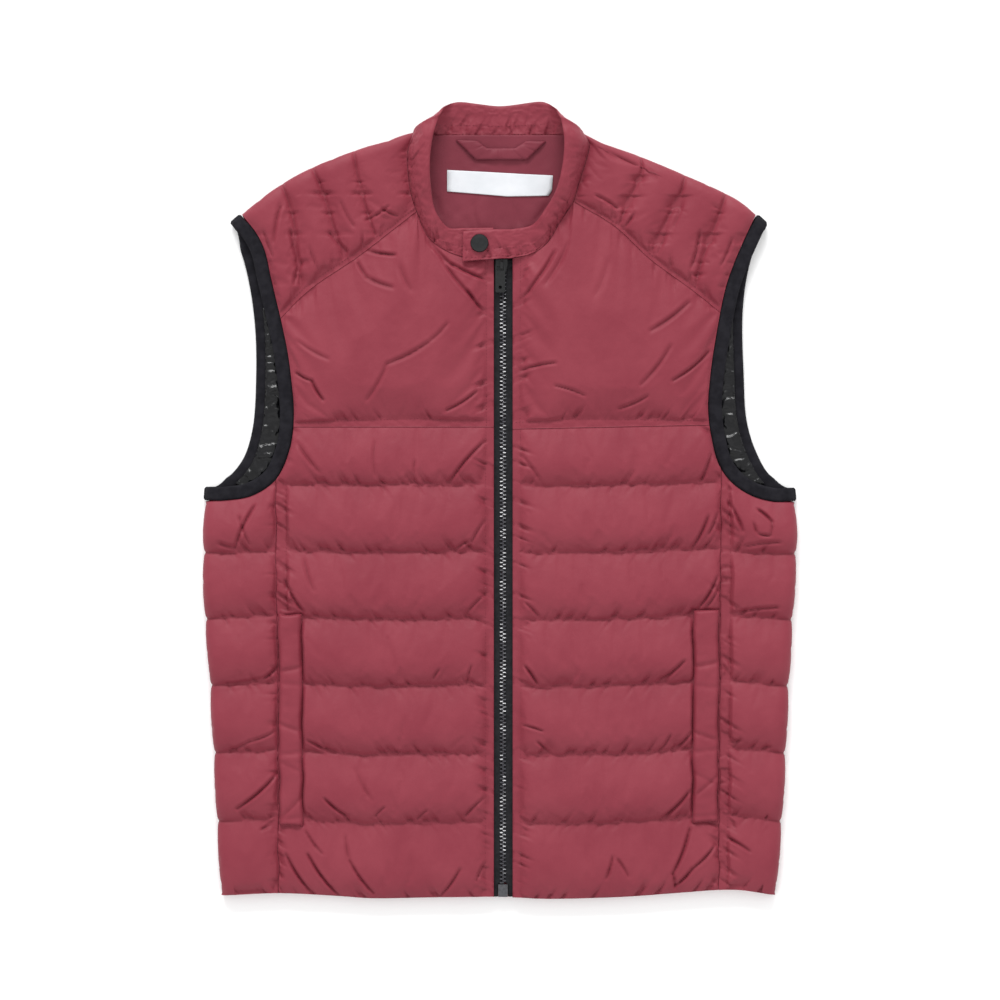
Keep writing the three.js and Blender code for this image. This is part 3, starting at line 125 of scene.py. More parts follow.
RIGHT = {
    "name": "right", "sign": 1, "zip": 11.0, "princess_x": 192.4,
    "yoke_neck_y": 263.0, "yoke_armhole_y": 165.0, "princess_y": 27.0,
    "chest_seam": (62.4, 66.0), "welt": (-100.8, -285.6), "welt_columns": (0.87, 0.992),
    "shoulder": [
        (71.4, 324.2), (88.9, 316.4), (129.4, 300.5), (164.6, 285.6), (207.7, 265.3), (225.6, 251.6)],
    "armhole": [
        (225.6, 251.6), (215.6, 230.5), (206.1, 208.6), (198.4, 185.8), (188.9, 136.1), (185.2, 109.6),
        (183.2, 80.8), (186, 56), (192.7, 31.2), (204.2, 15.2), (222, 3.5), (241, -1.6), (259.8, -2)],
    "back_armhole": [
        (234, 243), (221.4, 212), (214.4, 170), (215.1, 109.6),
        (217.5, 71.3), (225.2, 44.5), (239, 21), (259.8, 10.6)],
    "side": [
        (259.8, -2), (261.6, -34), (259.8, -80), (256.6, -130),
        (253.4, -190), (251.2, -240), (247.4, -300), (243, -348.2)],
    "neck": [
        (71.4, 324.2), (78.6, 313.5), (76.3, 300.5), (70.8, 282.9), (64.6, 263),
        (53.3, 245.3), (42.6, 227.7), (29, 217.2), (11, 212.8)],
    "yoke_seam": [(102.5, 239.8), (132, 212.1), (169.8, 184.4)],
    "hem": [
        (11, -350), (43, -351.2), (108, -349.4), (151, -346.4),
        (192.4, -343.4), (212, -343.6), (243, -348.2)],
    "yoke_quilts": [(0.33, 0.28), (0.58, 0.52), (0.81, 0.82)],
}

# Main creases of the panels, the collar's inner side and the facing, as rows of x0, y0, x1, y1, deep, wide
CREASES = [
    # Left chest
    (-62, 228, -41, 206, 2.8, 3.4), (-42, 208, -9, 193, 2.4, 3.2), (-52, 214, -24, 178, 1.8, 3.6),
    (-29, 184, -8, 161, 2.4, 3.4), (-123, 222, -92, 216, 2.4, 3), (-126, 211, -117, 196, 1.6, 3.4),
    (-117, 196, -94, 187, 1.6, 4), (-117, 88, -99, 120, 1.3, 4), (-99, 120, -64, 138, 1.8, 4),
    (-64, 138, -46, 156, 1.3, 3.6), (-180, 112, -165, 105, 1.8, 3.2), (-165, 105, -155, 88, 2.2, 3.2),
    (-47, 79, -20, 96, 2.2, 3.2), (-178, 140, -150, 124, 1.2, 4), (-88, 206, -78, 184, 1.4, 6),
    # Right chest
    (35, 228, 13, 198, 2.6, 3.4), (48, 219, 18, 176, 2, 3.6), (18, 114, 50, 121, 1.8, 3),
    (10, 127, 18, 114, 1.4, 2.8), (48, 101, 75, 92, 1.5, 3), (167, 175, 132, 149, 1.8, 4),
    (150, 136, 123, 101, 1.5, 4), (185, 131, 151, 105, 2, 3.4),
    (60, 226, 40, 190, 1.4, 5), (95, 210, 84, 180, 1, 6), (130, 92, 104, 80, 1.6, 3.4),
    # Left yoke
    (-104, 256, -90, 250, 1.8, 3), (-118, 246, -98, 258, 1.6, 3), (-190, 268, -199, 226, 1.6, 4),
    (-184, 238, -176, 208, 2, 3.4), (-176, 208, -181, 190, 1.8, 3.4), (-150, 236, -134, 218, 2.2, 3.2),
    (-208, 236, -200, 214, 1.6, 3.4), (-168, 222, -158, 200, 1.4, 3.4), (-140, 262, -128, 240, 1.2, 4),
    # Right yoke
    (84, 268, 104, 256, 1.6, 3.2), (118, 252, 108, 238, 1.8, 3.2), (146, 238, 138, 216, 1.8, 3.2),
    (176, 236, 168, 204, 2, 3.4), (204, 230, 194, 206, 1.6, 3.4), (160, 262, 152, 240, 1.2, 4),
    # Left front
    (-13, 52, -46, 14, 2.4, 3.2), (-110, 52, -110, 22, 0.9, 3.5), (-75, 35, -75, 17, 1.1, 3),
    (-178, 50, -158, 24, 1.4, 4), (-26, -35, -40, -44, 1.8, 3), (-13, -18, -27, -41, 1.6, 3),
    (-189, -71, -173, -98, 2.6, 3.2), (-172, -53, -163, -80, 1.2, 4), (-25, -145, -29, -161, 1.8, 2.6),
    (-53, -148, -59, -157, 1.6, 2.6), (-169, -211, -145, -222, 2.2, 3), (-127, -236, -112, -264, 0.9, 4),
    (-154, -262, -134, -278, 2.2, 3), (-101, -269, -110, -278, 1.5, 2.6), (-64, -272, -73, -281, 1.6, 2.6),
    (-14, -262, -31, -278, 1.8, 3), (-169, -311, -144, -346, 2.6, 3), (-188, -311, -167, -344, 2.4, 3),
    (-171, -291, -156, -311, 1.5, 2.8), (-136, -295, -132, -317, 1.2, 4), (-132, -317, -111, -346, 2, 3),
    (-53, -349, -35, -324, 2, 3), (-13, -319, -21, -335, 1.8, 2.6), (-14, -84, -30, -100, 1.5, 3),
    # Left side
    (-216, -5, -233, -42, 2.4, 3.2), (-229, -14, -220, -40, 1.4, 3), (-251, -36, -233, -42, 1.8, 4),
    (-256, -163, -210, -157, 2, 3.4), (-208, -157, -195, -146, 2.6, 3), (-250, -225, -220, -212, 1.6, 3),
    (-220, -212, -197, -203, 1.5, 3), (-231, -271, -196, -241, 2.6, 3.2), (-210, -290, -196, -281, 2.2, 3),
    # Right front
    (186, 41, 177, 19, 2, 2.8), (18, 40, 36, 16, 1.2, 3.4), (183, -14, 169, -42, 2.4, 3.2),
    (191, -12, 183, -30, 1.8, 2.8), (191, -68, 174, -96, 2.6, 3), (191, -80, 180, -95, 1.8, 2.6),
    (22, -146, 33, -162, 2.6, 3), (162, -141, 141, -158, 2.4, 3.2), (33, -212, 42, -222, 2, 3),
    (20, -198, 38, -203, 1.8, 2.6), (150, -206, 140, -221, 1.8, 2.8), (168, -204, 152, -221, 2.4, 3),
    (167, -255, 141, -281, 2.6, 3.2), (167, -289, 152, -328, 2.8, 3.2), (152, -328, 154, -342, 2, 3),
    (189, -304, 169, -324, 2.2, 3), (169, -324, 154, -339, 2.6, 3), (99, -313, 93, -333, 1.8, 3),
    (103, -315, 113, -331, 1.5, 3), (22, -90, 34, -102, 1.6, 3),
    # Right side
    (201, -2, 214, -28, 2.4, 3), (227, -8, 239, -19, 2.6, 3), (239, -19, 238, -30, 1.5, 2.8),
    (238, -31, 227, -30, 2, 2.8), (226, -29, 223, -20, 1.8, 2.8), (258, -78, 251, -88, 1.8, 3),
    (214, -41, 252, -37, 1.6, 3.4), (200, -101, 252, -94, 1.8, 3.4), (196, -145, 203, -159, 2.4, 3),
    (194, -217, 212, -211, 2, 3), (233, -218, 253, -216, 1.8, 3), (195, -275, 207, -288, 2, 3),
    (196, -295, 220, -309, 1.8, 3),
]

COLLAR_CREASES = [
    (-46, 334, -38, 342, 1.6, 3), (-43, 326, -34, 337, 1.8, 3), (-36, 325, -26, 339, 1.4, 3),
    (-30, 334, -20, 328, 1.2, 3), (24, 341, 33, 326, 1.6, 3), (34, 342, 41, 328, 1.8, 3),
    (43, 339, 47, 326, 1.6, 3), (20, 329, 29, 338, 1.2, 3), (-12, 334, 2, 331, 0.8, 3),
    (6, 338, 14, 327, 0.9, 3),
]
FACING_CREASES = [
    (-24, 262, -19, 240, 1.0, 5), (12, 260, 17, 243, 0.7, 6), (-58, 276, -52, 250, 0.8, 6),
    (42, 262, 30, 246, 0.7, 5), (-4, 308, 8, 296, 0.5, 6), (50, 304, 56, 286, 0.6, 6),
]

# Top edge of the collar: left front, back, right front. Points are (x, y)
OPENING = {
    "left": [
        (-6, 239.8), (-32.8, 239.4), (-45, 239.4), (-52, 246), (-57.2, 255.5),
        (-60.5, 275), (-61.2, 299.1), (-58.4, 319.4), (-53.8, 335.7)],
    "back": [(-53.8, 335.7), (-46.8, 347), (-38, 350.9), (0, 347.8), (39, 350.9), (47.5, 345), (53.3, 334)],
    "right": [(53.3, 334), (56.1, 315.5), (54.6, 293.7), (49.3, 272.4), (40, 256), (29, 242.5), (11, 238)],
}
BACK_NECK = [(-75, 324.5), (-58, 320), (-28, 319.4), (0, 319.4), (28, 319.6), (54.6, 320.4), (71.4, 324.2)]
TAB_LOWER = [(11, 212.8), (-8, 211.6), (-33, 209.6)]
TAB_UPPER = [(11, 238), (-14, 237.4), (-32.4, 236)]
COLLAR_PARTS = ("left", "back", "right", "tab")
COLLAR_STEPS = {"left": 72, "back": 76, "right": 66, "tab": 20}
COLLAR_ROWS = 20
COLLAR_STEP = 1.3
COLLAR_CLEAR = 0.12
# The collar round the neck
COLLAR = [
    # part, at, middle of the wall at the seam, rise, wall, bulge along x, bulge along y
    ("left", 0, 9.9, 0.6, 3.4, 0, 0), ("left", 0.22, 9.9, 0.8, 3.4, 0, 0), ("left", 0.42, 9.9, 8, 3.6, 0, 0),
    ("left", 0.7, 9.9, 16, 3.8, 0, 0), ("left", 0.9, 9.9, 17, 4, 0, 0), ("back", 0, 8.8, 15, 4, -2, 2),
    ("back", 0.08, 5.4, 9, 4.2, -2.4, 2.4), ("back", 0.18, 2.6, 2.4, 4.4, -0.8, 0.6),
    ("back", 0.3, 2.2, 0, 4.4, 0, 0), ("back", 0.7, 2.2, 0, 4.4, 0, 0),
    ("back", 0.82, 2.6, 2.4, 4.4, 0.8, 0.6), ("back", 0.92, 5.4, 9, 4.2, 2, 2),
    ("right", 0, 8.8, 15, 4, 1, 2), ("right", 0.12, 9.9, 17, 4, 0, 0), ("right", 0.4, 9.9, 15, 3.8, 0, 0),
    ("right", 0.72, 9.9, 8, 3.6, 0, 0), ("right", 0.9, 10.1, 1.6, 3.4, 0, 0),
    ("right", 1, 13, 0.4, 3.2, 0, 0), ("tab", 0.3, 16.1, 0, 3, 0, 0), ("tab", 1, 16.3, 0, 3, 0, 0),
]

FACING = [
    (-62, 321.5), (-72, 313), (-83, 300), (-83, 280), (-76, 254), (-62, 230), (-38, 220), (36, 220),
    (46, 230), (58, 246), (70, 266), (78, 290), (80, 300), (70, 313), (61, 321.5)]
LABEL = [(-46.6, 290.8), (-46.6, 271.9), (6.2, 267.4), (42.6, 268.1), (45.8, 272.9), (46.6, 285.9)]
LOOP = [
    (-38.9, 317), (-21.4, 299.8), (23.8, 299.8), (40.5, 316),
    (22.9, 316), (13.2, 309.6), (-11.4, 309.6), (-20.2, 316.4)]


# Curves and grids on the plan

class Curve:
    """Centripetal Catmull-Rom curve through points of the plan, read by share of its length."""

    def __init__(self, rows, fine=48):
        given = np.array(rows, float)
        ends = [2 * given[0] - given[1], 2 * given[-1] - given[-2]]
        points = np.vstack([ends[0], given, ends[1]])
        t = np.linspace(0, 1, fine, endpoint=False)[:, None]
        parts = [self.piece(*points[k:k + 4], t) for k in range(len(given) - 1)]
        self.points = np.vstack([*parts, given[-1]])
        steps = np.linalg.norm(np.diff(self.points, axis=0), axis=1)
        self.length = float(steps.sum())
        self.shares = np.concatenate([[0], np.cumsum(steps)]) / self.length

    @staticmethod
    def piece(p0, p1, p2, p3, t):
        d0, d1, d2 = (np.sqrt(np.linalg.norm(b - a)) for a, b in ((p0, p1), (p1, p2), (p2, p3)))
        m1 = ((p1 - p0) / d0 - (p2 - p0) / (d0 + d1) + (p2 - p1) / d1) * d1
        m2 = ((p2 - p1) / d1 - (p3 - p1) / (d1 + d2) + (p3 - p2) / d2) * d1
        return p1 + m1 * t + (3 * (p2 - p1) - 2 * m1 - m2) * t ** 2 + (2 * (p1 - p2) + m1 + m2) * t ** 3

    def at(self, share):
        share = np.clip(share, 0, 1)
        return np.stack([np.interp(share, self.shares, self.points[:, k]) for k in (0, 1)], -1)

    def tangent(self, share):
        step = self.at(np.asarray(share) + 0.004) - self.at(np.asarray(share) - 0.004)
        return step / np.linalg.norm(step, axis=-1, keepdims=True)

    def share_where(self, axis, value):
        """The first share at which the coordinate on that axis passes the value."""
        side = self.points[:, axis] > value
        k = int(np.argmax(side != side[0]))
        a, b = self.points[k - 1, axis], self.points[k, axis]
        return float(self.shares[k - 1] + (self.shares[k] - self.shares[k - 1]) * (value - a) / (b - a))


def lerp(a, b, t):
    return a + (b - a) * t


def smooth(x, low, high):
    t = np.clip((np.asarray(x, float) - low) / (high - low), 0, 1)
    return t * t * (3 - 2 * t)


def arch(share):
    return np.sqrt(np.maximum(0, 1 - (2 * np.clip(share, 0, 1) - 1) ** 2))


def round_edge(distance, radius):
    return np.sqrt(np.maximum(0, 1 - (1 - np.clip(distance / radius, 0, 1)) ** 2))


def spread(marks, step=STEP):
    """Values from mark to mark about a step apart, and the index of each mark."""
    values, at = [], []
    for a, b in zip(marks, marks[1:]):
        at.append(len(values))
        values.extend(np.linspace(a, b, max(2, round(abs(b - a) / step)), endpoint=False))
    return np.array([*values, marks[-1]]), [*at, len(values)]


def patch(first, last, start, end, v, u):
    """Grid between first and last, its end rows, and start and end, its end columns."""
    v = np.asarray(v)[:, None, None]
    u = np.asarray(u)[None, :, None]
    grid = first[None] * (1 - v) + last[None] * v + start[:, None] * (1 - u) + end[:, None] * u
    corners = first[0] * (1 - u) * (1 - v) + first[-1] * u * (1 - v) + last[0] * (1 - u) * v
    return grid - corners - last[-1] * u * v


def halfway(rows):
    """The rows with one more between each two."""
    return np.interp(np.arange(2 * len(rows) - 1) / 2, np.arange(len(rows)), rows)


def finer(grid):
    """The grid with a point more between each two, on a smooth curve through its points."""
    for axis in (0, 1):
        grid = np.moveaxis(grid, axis, 0)
        before = np.concatenate([grid[:1], grid[:-2]])
        after = np.concatenate([grid[2:], grid[-1:]])
        out = np.empty((2 * len(grid) - 1, *grid.shape[1:]))
        out[::2] = grid
        out[1::2] = (9 * (grid[:-1] + grid[1:]) - before - after) / 16
        grid = np.moveaxis(out, 0, axis)
    return grid


def with_z(plan, z):
    return np.concatenate([plan, np.broadcast_to(z, plan.shape[:-1])[..., None]], -1)


def draw_in(grid, gap=SEAM_DRAW_IN):
    """Draws the rim of a grid in on the plan, to leave a seam's gap."""
    out = grid.copy()
    for here, beside in ((0, 1), (-1, -2)):
        for axis in (0, 1):
            edge = np.take(grid, here, axis)
            way = np.take(grid, beside, axis) - edge
            way[:, 2] = 0
            way /= np.maximum(np.linalg.norm(way, axis=1, keepdims=True), 1e-9)
            target = out[here] if axis == 0 else out[:, here]
            target += way * gap
    return out


class Noise:
    """Smooth noise on the plan, from -1 to 1."""

    def __init__(self, seed, size=96):
        self.size = size
        self.values = np.random.default_rng(seed).uniform(-1, 1, (size, size))

    def at(self, x, y, wave):
        x, y = np.asarray(x) / wave + 31.7, np.asarray(y) / wave + 17.3
        i, j = np.floor(x).astype(int), np.floor(y).astype(int)
        fx, fy = x - i, y - j
        fx, fy = fx * fx * (3 - 2 * fx), fy * fy * (3 - 2 * fy)
        value = lambda a, b: self.values[(i + a) % self.size, (j + b) % self.size]
        low = lerp(value(0, 0), value(1, 0), fx)
        return lerp(low, lerp(value(0, 1), value(1, 1), fx), fy)


waves = Noise(5)
ripples = Noise(11)


def creases(x, y, rows=CREASES):
    """Depth of the main creases at points of the plan."""
    deep = np.zeros(np.shape(x))
    for x0, y0, x1, y1, depth, wide in rows:
        wide = CREASE_WIDTH * wide
        ax, ay = x1 - x0, y1 - y0
        length = math.hypot(ax, ay)
        share = np.clip(((x - x0) * ax + (y - y0) * ay) / length ** 2, 0, 1)
        bow = 0.035 * length * np.sin(share * math.pi) * math.copysign(1, x0 * depth)
        away = np.hypot(x - x0 - ax * share + ay / length * bow, y - y0 - ay * share - ax / length * bow)
        trough = np.exp(-(away / wide) ** 1.5) - 0.14 * np.exp(-((away - 2.2 * wide) / wide) ** 2)
        deep += depth * trough * (0.35 + 0.65 * arch(share))
    return deep


def gathers(along, away, line, deep=GATHER):
    """Depth of the puckers that a stitched line draws into the cloth beside it."""
    along = along + 41.0 * line
    reach = 6.5 + 3.5 * waves.at(along, 67.0 * line, 16)
    wave = 0.7 * ripples.at(along, 29.0 * line, 5.6) + 0.3 * ripples.at(along, 83.0 * line, 3.4)
    return deep * smooth(wave, 0.1, 0.42) * np.exp(-(away / reach) ** 2)


# The halves

def curves_of(half):
    armhole, neck = Curve(half["armhole"]), Curve(half["neck"])
    neck_corner = neck.share_where(1, half["yoke_neck_y"])
    yoke_out = armhole.share_where(1, half["yoke_armhole_y"])
    hem = Curve(half["hem"])
    return {
        **half, "armhole": armhole, "neck": neck, "neck_corner": neck_corner, "yoke_out": yoke_out,
        "chest_out": armhole.share_where(1, half["chest_seam"][1]),
        "side_out": armhole.share_where(1, half["princess_y"]),
        "shoulder": Curve(half["shoulder"]), "back_armhole": Curve(half["back_armhole"]),
        "side": Curve(half["side"]), "hem": hem, "hem_out": hem.share_where(0, half["princess_x"]),
        "yoke_seam": Curve([neck.at(neck_corner), *half["yoke_seam"], armhole.at(yoke_out)]),
    }


def channel_rows(top, first_line):
    return spread([top, *LINE_Y[first_line:]])


def channel_at(y):
    """Share down the channel and its crown, for heights on the plan."""
    lines = np.array(LINE_Y)
    k = np.clip(np.searchsorted(-lines, -np.asarray(y), side="right") - 1, 0, len(LINE_CROWN) - 1)
    return (lines[k] - y) / (lines[k] - lines[k + 1]), np.array(LINE_CROWN)[k]


def puff(share):
    """Profile of a channel down the vest: fullest below its middle, where the filling sinks."""
    share = np.clip(share, 0, 1) ** LEAN
    return 0.4 * arch(share) + 0.6 * np.sin(math.pi * share) ** 0.9


def seam_wobble(y, top, sign):
    """How far the princess seam wanders along X."""
    free = smooth(top - y, 2, 30) * smooth(y - LINE_Y[-1], 2, 30)
    return SEAM_WOBBLE * free * ripples.at(57 + sign, y, 16)


def line_wander(plan, v):
    """How far the quilting lines wander along Y between the first and last column."""
    wander = ripples.at(plan[:, 1:-1, 0], plan[:, 1:-1, 1], 10) * np.sin(math.pi * v)[:, None] ** 0.3
    return LINE_WOBBLE * wander


def line_gathers(rows, x, sign):
    """Puckers above and, fainter, below each quilting line."""
    deep = np.zeros(x.shape)
    for k, line in enumerate(LINE_Y):
        above, below = (rows - line)[:, None], (line - rows)[:, None]
        place = x - sign * 0.7 * (rows - line)[:, None]
        deep += np.where(above > 0, gathers(place, above, k + 1 + 0.3 * sign), 0)
        if k:
            deep += np.where(below > 0, 0.35 * gathers(place, below, k + 9 + 0.3 * sign), 0)
    return deep


def front_grid(half):
    """Lower front: outer grid, stitched vertices and the columns of its topstitching."""
    rows, lines = channel_rows(LINE_Y[0], 1)
    v = (rows[0] - rows) / (rows[0] - rows[-1])
    outer = half["armhole"].at(half["chest_out"])
    wide = abs(outer[0] - half["zip"])
    band = 1 - PRINCESS_TOPSTITCH / wide
    welt_start, welt_end = half["welt_columns"]
    u, marks = spread([0, PLACKET / wide, welt_start, band, welt_end, 1], STEP / wide)
    first = np.stack([lerp(half["zip"], outer[0], u), lerp(half["chest_seam"][0], outer[1], u)], -1)
    last = half["hem"].at(u * half["hem_out"])
    corner = half["armhole"].at(half["side_out"])
    y = lerp(outer[1], last[-1][1], v)
    down = (corner[1] - y) / (corner[1] - last[-1][1])
    straight = np.stack([lerp(corner[0], last[-1][0], down), y], -1)
    armhole = half["armhole"]
    round_hole = np.array([armhole.at(armhole.share_where(1, min(h, outer[1] - 0.01))) for h in y])
    end = np.where((y >= corner[1])[:, None], round_hole, straight)
    start = np.stack([np.full(len(v), half["zip"]), lerp(first[0][1], last[0][1], v)], -1)
    end[:, 0] += seam_wobble(y, corner[1], half["sign"])
    plan = patch(first, last, start, end, v, u)
    plan[:, 1:-1, 1] += line_wander(plan, v)
    share, crown = channel_at(rows + np.where(np.arange(len(rows)) == len(rows) - 1, 0.01, -1e-6))
    from_zip = np.linalg.norm(plan - plan[:, :1], axis=-1) - PLACKET
    from_side = np.linalg.norm(plan - plan[:, -1:], axis=-1)
    edges = round_edge(from_zip, 15) * round_edge(from_side, 11)
    x, y = plan[..., 0], plan[..., 1]
    height = (crown * puff(share))[:, None] * edges * (1 + 0.12 * waves.at(x, y, 46))
    sign, fine_rows = half["sign"], halfway(rows)
    fine = finer(np.dstack([plan, from_zip, from_side]))
    fx, fy, fine_zip, fine_side = (fine[..., k] for k in range(4))
    drawn = line_gathers(fine_rows, fx, sign)
    drawn += gathers(fy + sign * 0.4 * fine_zip, np.abs(fine_zip), 50 + sign, 2.2)
    drawn += gathers(fy - sign * 0.5 * fine_side, fine_side, 54 + sign, 1.8)
    folds = (creases(fx, fy) + drawn) * round_edge(fine_zip + PLACKET, 3) * round_edge(fine_side, 4)
    pinned = np.zeros(height.shape, bool)
    pinned[lines] = True
    pinned[:, :marks[1] + 1] = True
    pinned[:, -1] = True
    top, bottom = half["welt"]
    banded = lambda at: (at < half["princess_y"] - 4) & (at > top + 5) & (sign < 0)
    pinned[banded(rows), marks[3]] = True
    height[banded(rows), marks[3]:] *= 0.25
    from_band = np.abs(fine_side - PRINCESS_TOPSTITCH)
    band_drawn = gathers(fy + 0.6 * fine_side, from_band, 90, 1.6)
    folds += banded(fine_rows)[:, None] * band_drawn * round_edge(fine_side, 3)
    under = (rows < top + 3) & (rows > bottom - 3)
    welt = slice(marks[2], marks[4] + 1)
    rim = np.minimum(rows - bottom + 3, top + 3 - rows)[:, None]
    across = np.minimum(np.arange(marks[4] - marks[2] + 1), np.arange(marks[4] - marks[2] + 1)[::-1]) * STEP
    flat = 1.8 * round_edge(np.minimum(rim, across[None, :]), 6)
    height[under, welt] = flat[under]
    pinned[under, welt] = True
    first_row, last_row = 2 * np.flatnonzero(under)[[0, -1]]
    fine_welt = slice(2 * marks[2], 2 * marks[4] + 1)
    folds[first_row:last_row + 1, fine_welt] = 0
    return {"outer": with_z(plan, SEAM_TOP + height), "folds": folds, "pinned": pinned, "marks": marks,
            "welt": (slice(first_row, last_row + 1), fine_welt), "band": (banded(fine_rows), 2 * marks[3])}


def chest_grid(half):
    """Chest, padded and not quilted, from the yoke seam and the collar down to the chest seam."""
    seam = half["yoke_seam"]
    toward_zip = half["zip"] + half["sign"] * PLACKET
    neck = half["neck"]
    placket = neck.share_where(0, toward_zip)
    along, _ = spread([1, 0], STEP / seam.length)
    around, marks = spread([half["neck_corner"], placket, 1], STEP / neck.length)
    first = np.vstack([seam.at(along), neck.at(around[1:])])
    u = (first[:, 0] - first[0, 0]) / (first[-1, 0] - first[0, 0])
    placket_column = len(along) - 1 + marks[1]
    outer = half["armhole"].at(half["chest_out"])
    last = np.stack([lerp(outer[0], half["zip"], u), lerp(outer[1], half["chest_seam"][0], u)], -1)
    tall = 150.0
    v, row_marks = spread([0, 1 - CHEST_TOPSTITCH / tall, 1], STEP / tall)
    start = half["armhole"].at(lerp(half["yoke_out"], half["chest_out"], v))
    end = np.stack([np.full(len(v), half["zip"]), lerp(first[-1, 1], half["chest_seam"][0], v)], -1)
    plan = patch(first, last, start, end, v, u)
    to_top = np.linalg.norm(plan - plan[:1], axis=-1) * 0.7
    to_bottom = np.linalg.norm(plan - plan[row_marks[1]], axis=-1)
    to_bottom[row_marks[1]:] = 0
    to_outer = np.linalg.norm(plan - plan[:, :1], axis=-1)
    to_zip = np.linalg.norm(plan - plan[:, -1:], axis=-1) - PLACKET
    edges = round_edge(to_top, 12) * round_edge(to_bottom, 12)
    edges = edges * round_edge(to_outer, 10) * round_edge(to_zip, 12)
    x, y = plan[..., 0], plan[..., 1]
    body = CHEST_CROWN * edges * (1 + 0.2 * waves.at(x, y, 60))
    sign = half["sign"]
    fine = finer(np.dstack([plan, to_bottom, to_top, to_zip, to_outer]))
    fx, fy, fine_bottom, fine_top, fine_zip, fine_outer = (fine[..., k] for k in range(6))
    drawn = gathers(fx - sign * 0.7 * fine_bottom, fine_bottom, 20 + sign)
    drawn = drawn + 0.5 * gathers(fx, fine_top, 24 + sign)
    drawn += gathers(fy - sign * 0.4 * fine_zip, np.abs(fine_zip), 28 + sign)
    rim = round_edge(fine_top, 4) * round_edge(fine_bottom, 4) * round_edge(fine_outer, 4)
    rim = rim * round_edge(fine_zip + PLACKET, 3)
    folds = (creases(fx, fy) + drawn) * rim
    pinned = np.zeros(body.shape, bool)
    pinned[[0, row_marks[1], -1]] = True
    pinned[:, 0] = True
    pinned[:, placket_column:] = True
    return {"outer": with_z(plan, SEAM_TOP + body), "folds": folds, "pinned": pinned,
            "placket": placket_column, "topstitch": row_marks[1]}


def fold_grids(front, fold, back, top_z):
    """Outer and inner grid of a piece that turns round a fold. front and back run away from their seams."""
    inward = front[:, -1] - fold
    inward /= np.linalg.norm(inward, axis=1, keepdims=True)
    backward = back[:, 0] - fold
    backward /= np.linalg.norm(backward, axis=1, keepdims=True)
    top = top_z[:, -1]
    level = top * FOLD_LEVEL
    outer, inner = [with_z(front, top_z)], [with_z(front, FRONT_INSIDE)]
    for degrees in (90, 75, 60, 45, 30, 15, 0, -15, -30, -45, -60, -75, -90):
        turn = math.radians(abs(degrees))
        upper = degrees >= 0
        reach, way = (FOLD_UPPER, inward) if upper else (FOLD_LOWER, backward)
        rise = (top - level) if upper else -level
        inside = lerp(FOLD_INSIDE_LEVEL, FRONT_INSIDE if upper else BACK_TOP, math.sin(turn))
        away = reach * (1 - math.cos(turn))
        deep = FOLD_INSIDE + FOLD_INSIDE_TURN * (1 - math.cos(turn))
        outer.append(with_z(fold + way * away, level + rise * math.sin(turn))[:, None])
        inner.append(with_z(fold + way * deep, inside)[:, None])
    outer.append(with_z(back, 0.0))
    inner.append(with_z(back, BACK_TOP))
    return np.concatenate(outer, 1), np.concatenate(inner, 1)


def back_edge(half, share):
    """Edge of the back cloth at the armhole, beside its binding."""
    share = np.atleast_1d(share)
    tangent = half["back_armhole"].tangent(share)
    across = np.stack([-tangent[:, 1], tangent[:, 0]], -1) * -half["sign"]
    edge = half["back_armhole"].at(share) + across * (BINDING_WIDTH + CLOTH_GAP)
    start = (1 - smooth(share, 0, 0.12))[:, None]
    end = smooth(share, 0.9, 1)[:, None]
    edge = lerp(edge, half["shoulder"].at(1.0), start)
    return lerp(edge, half["side"].at(0.0), end)


def back_share(half, y):
    shares = np.linspace(0, 1, 401)
    return float(shares[np.argmax(back_edge(half, shares)[:, 1] <= y)])


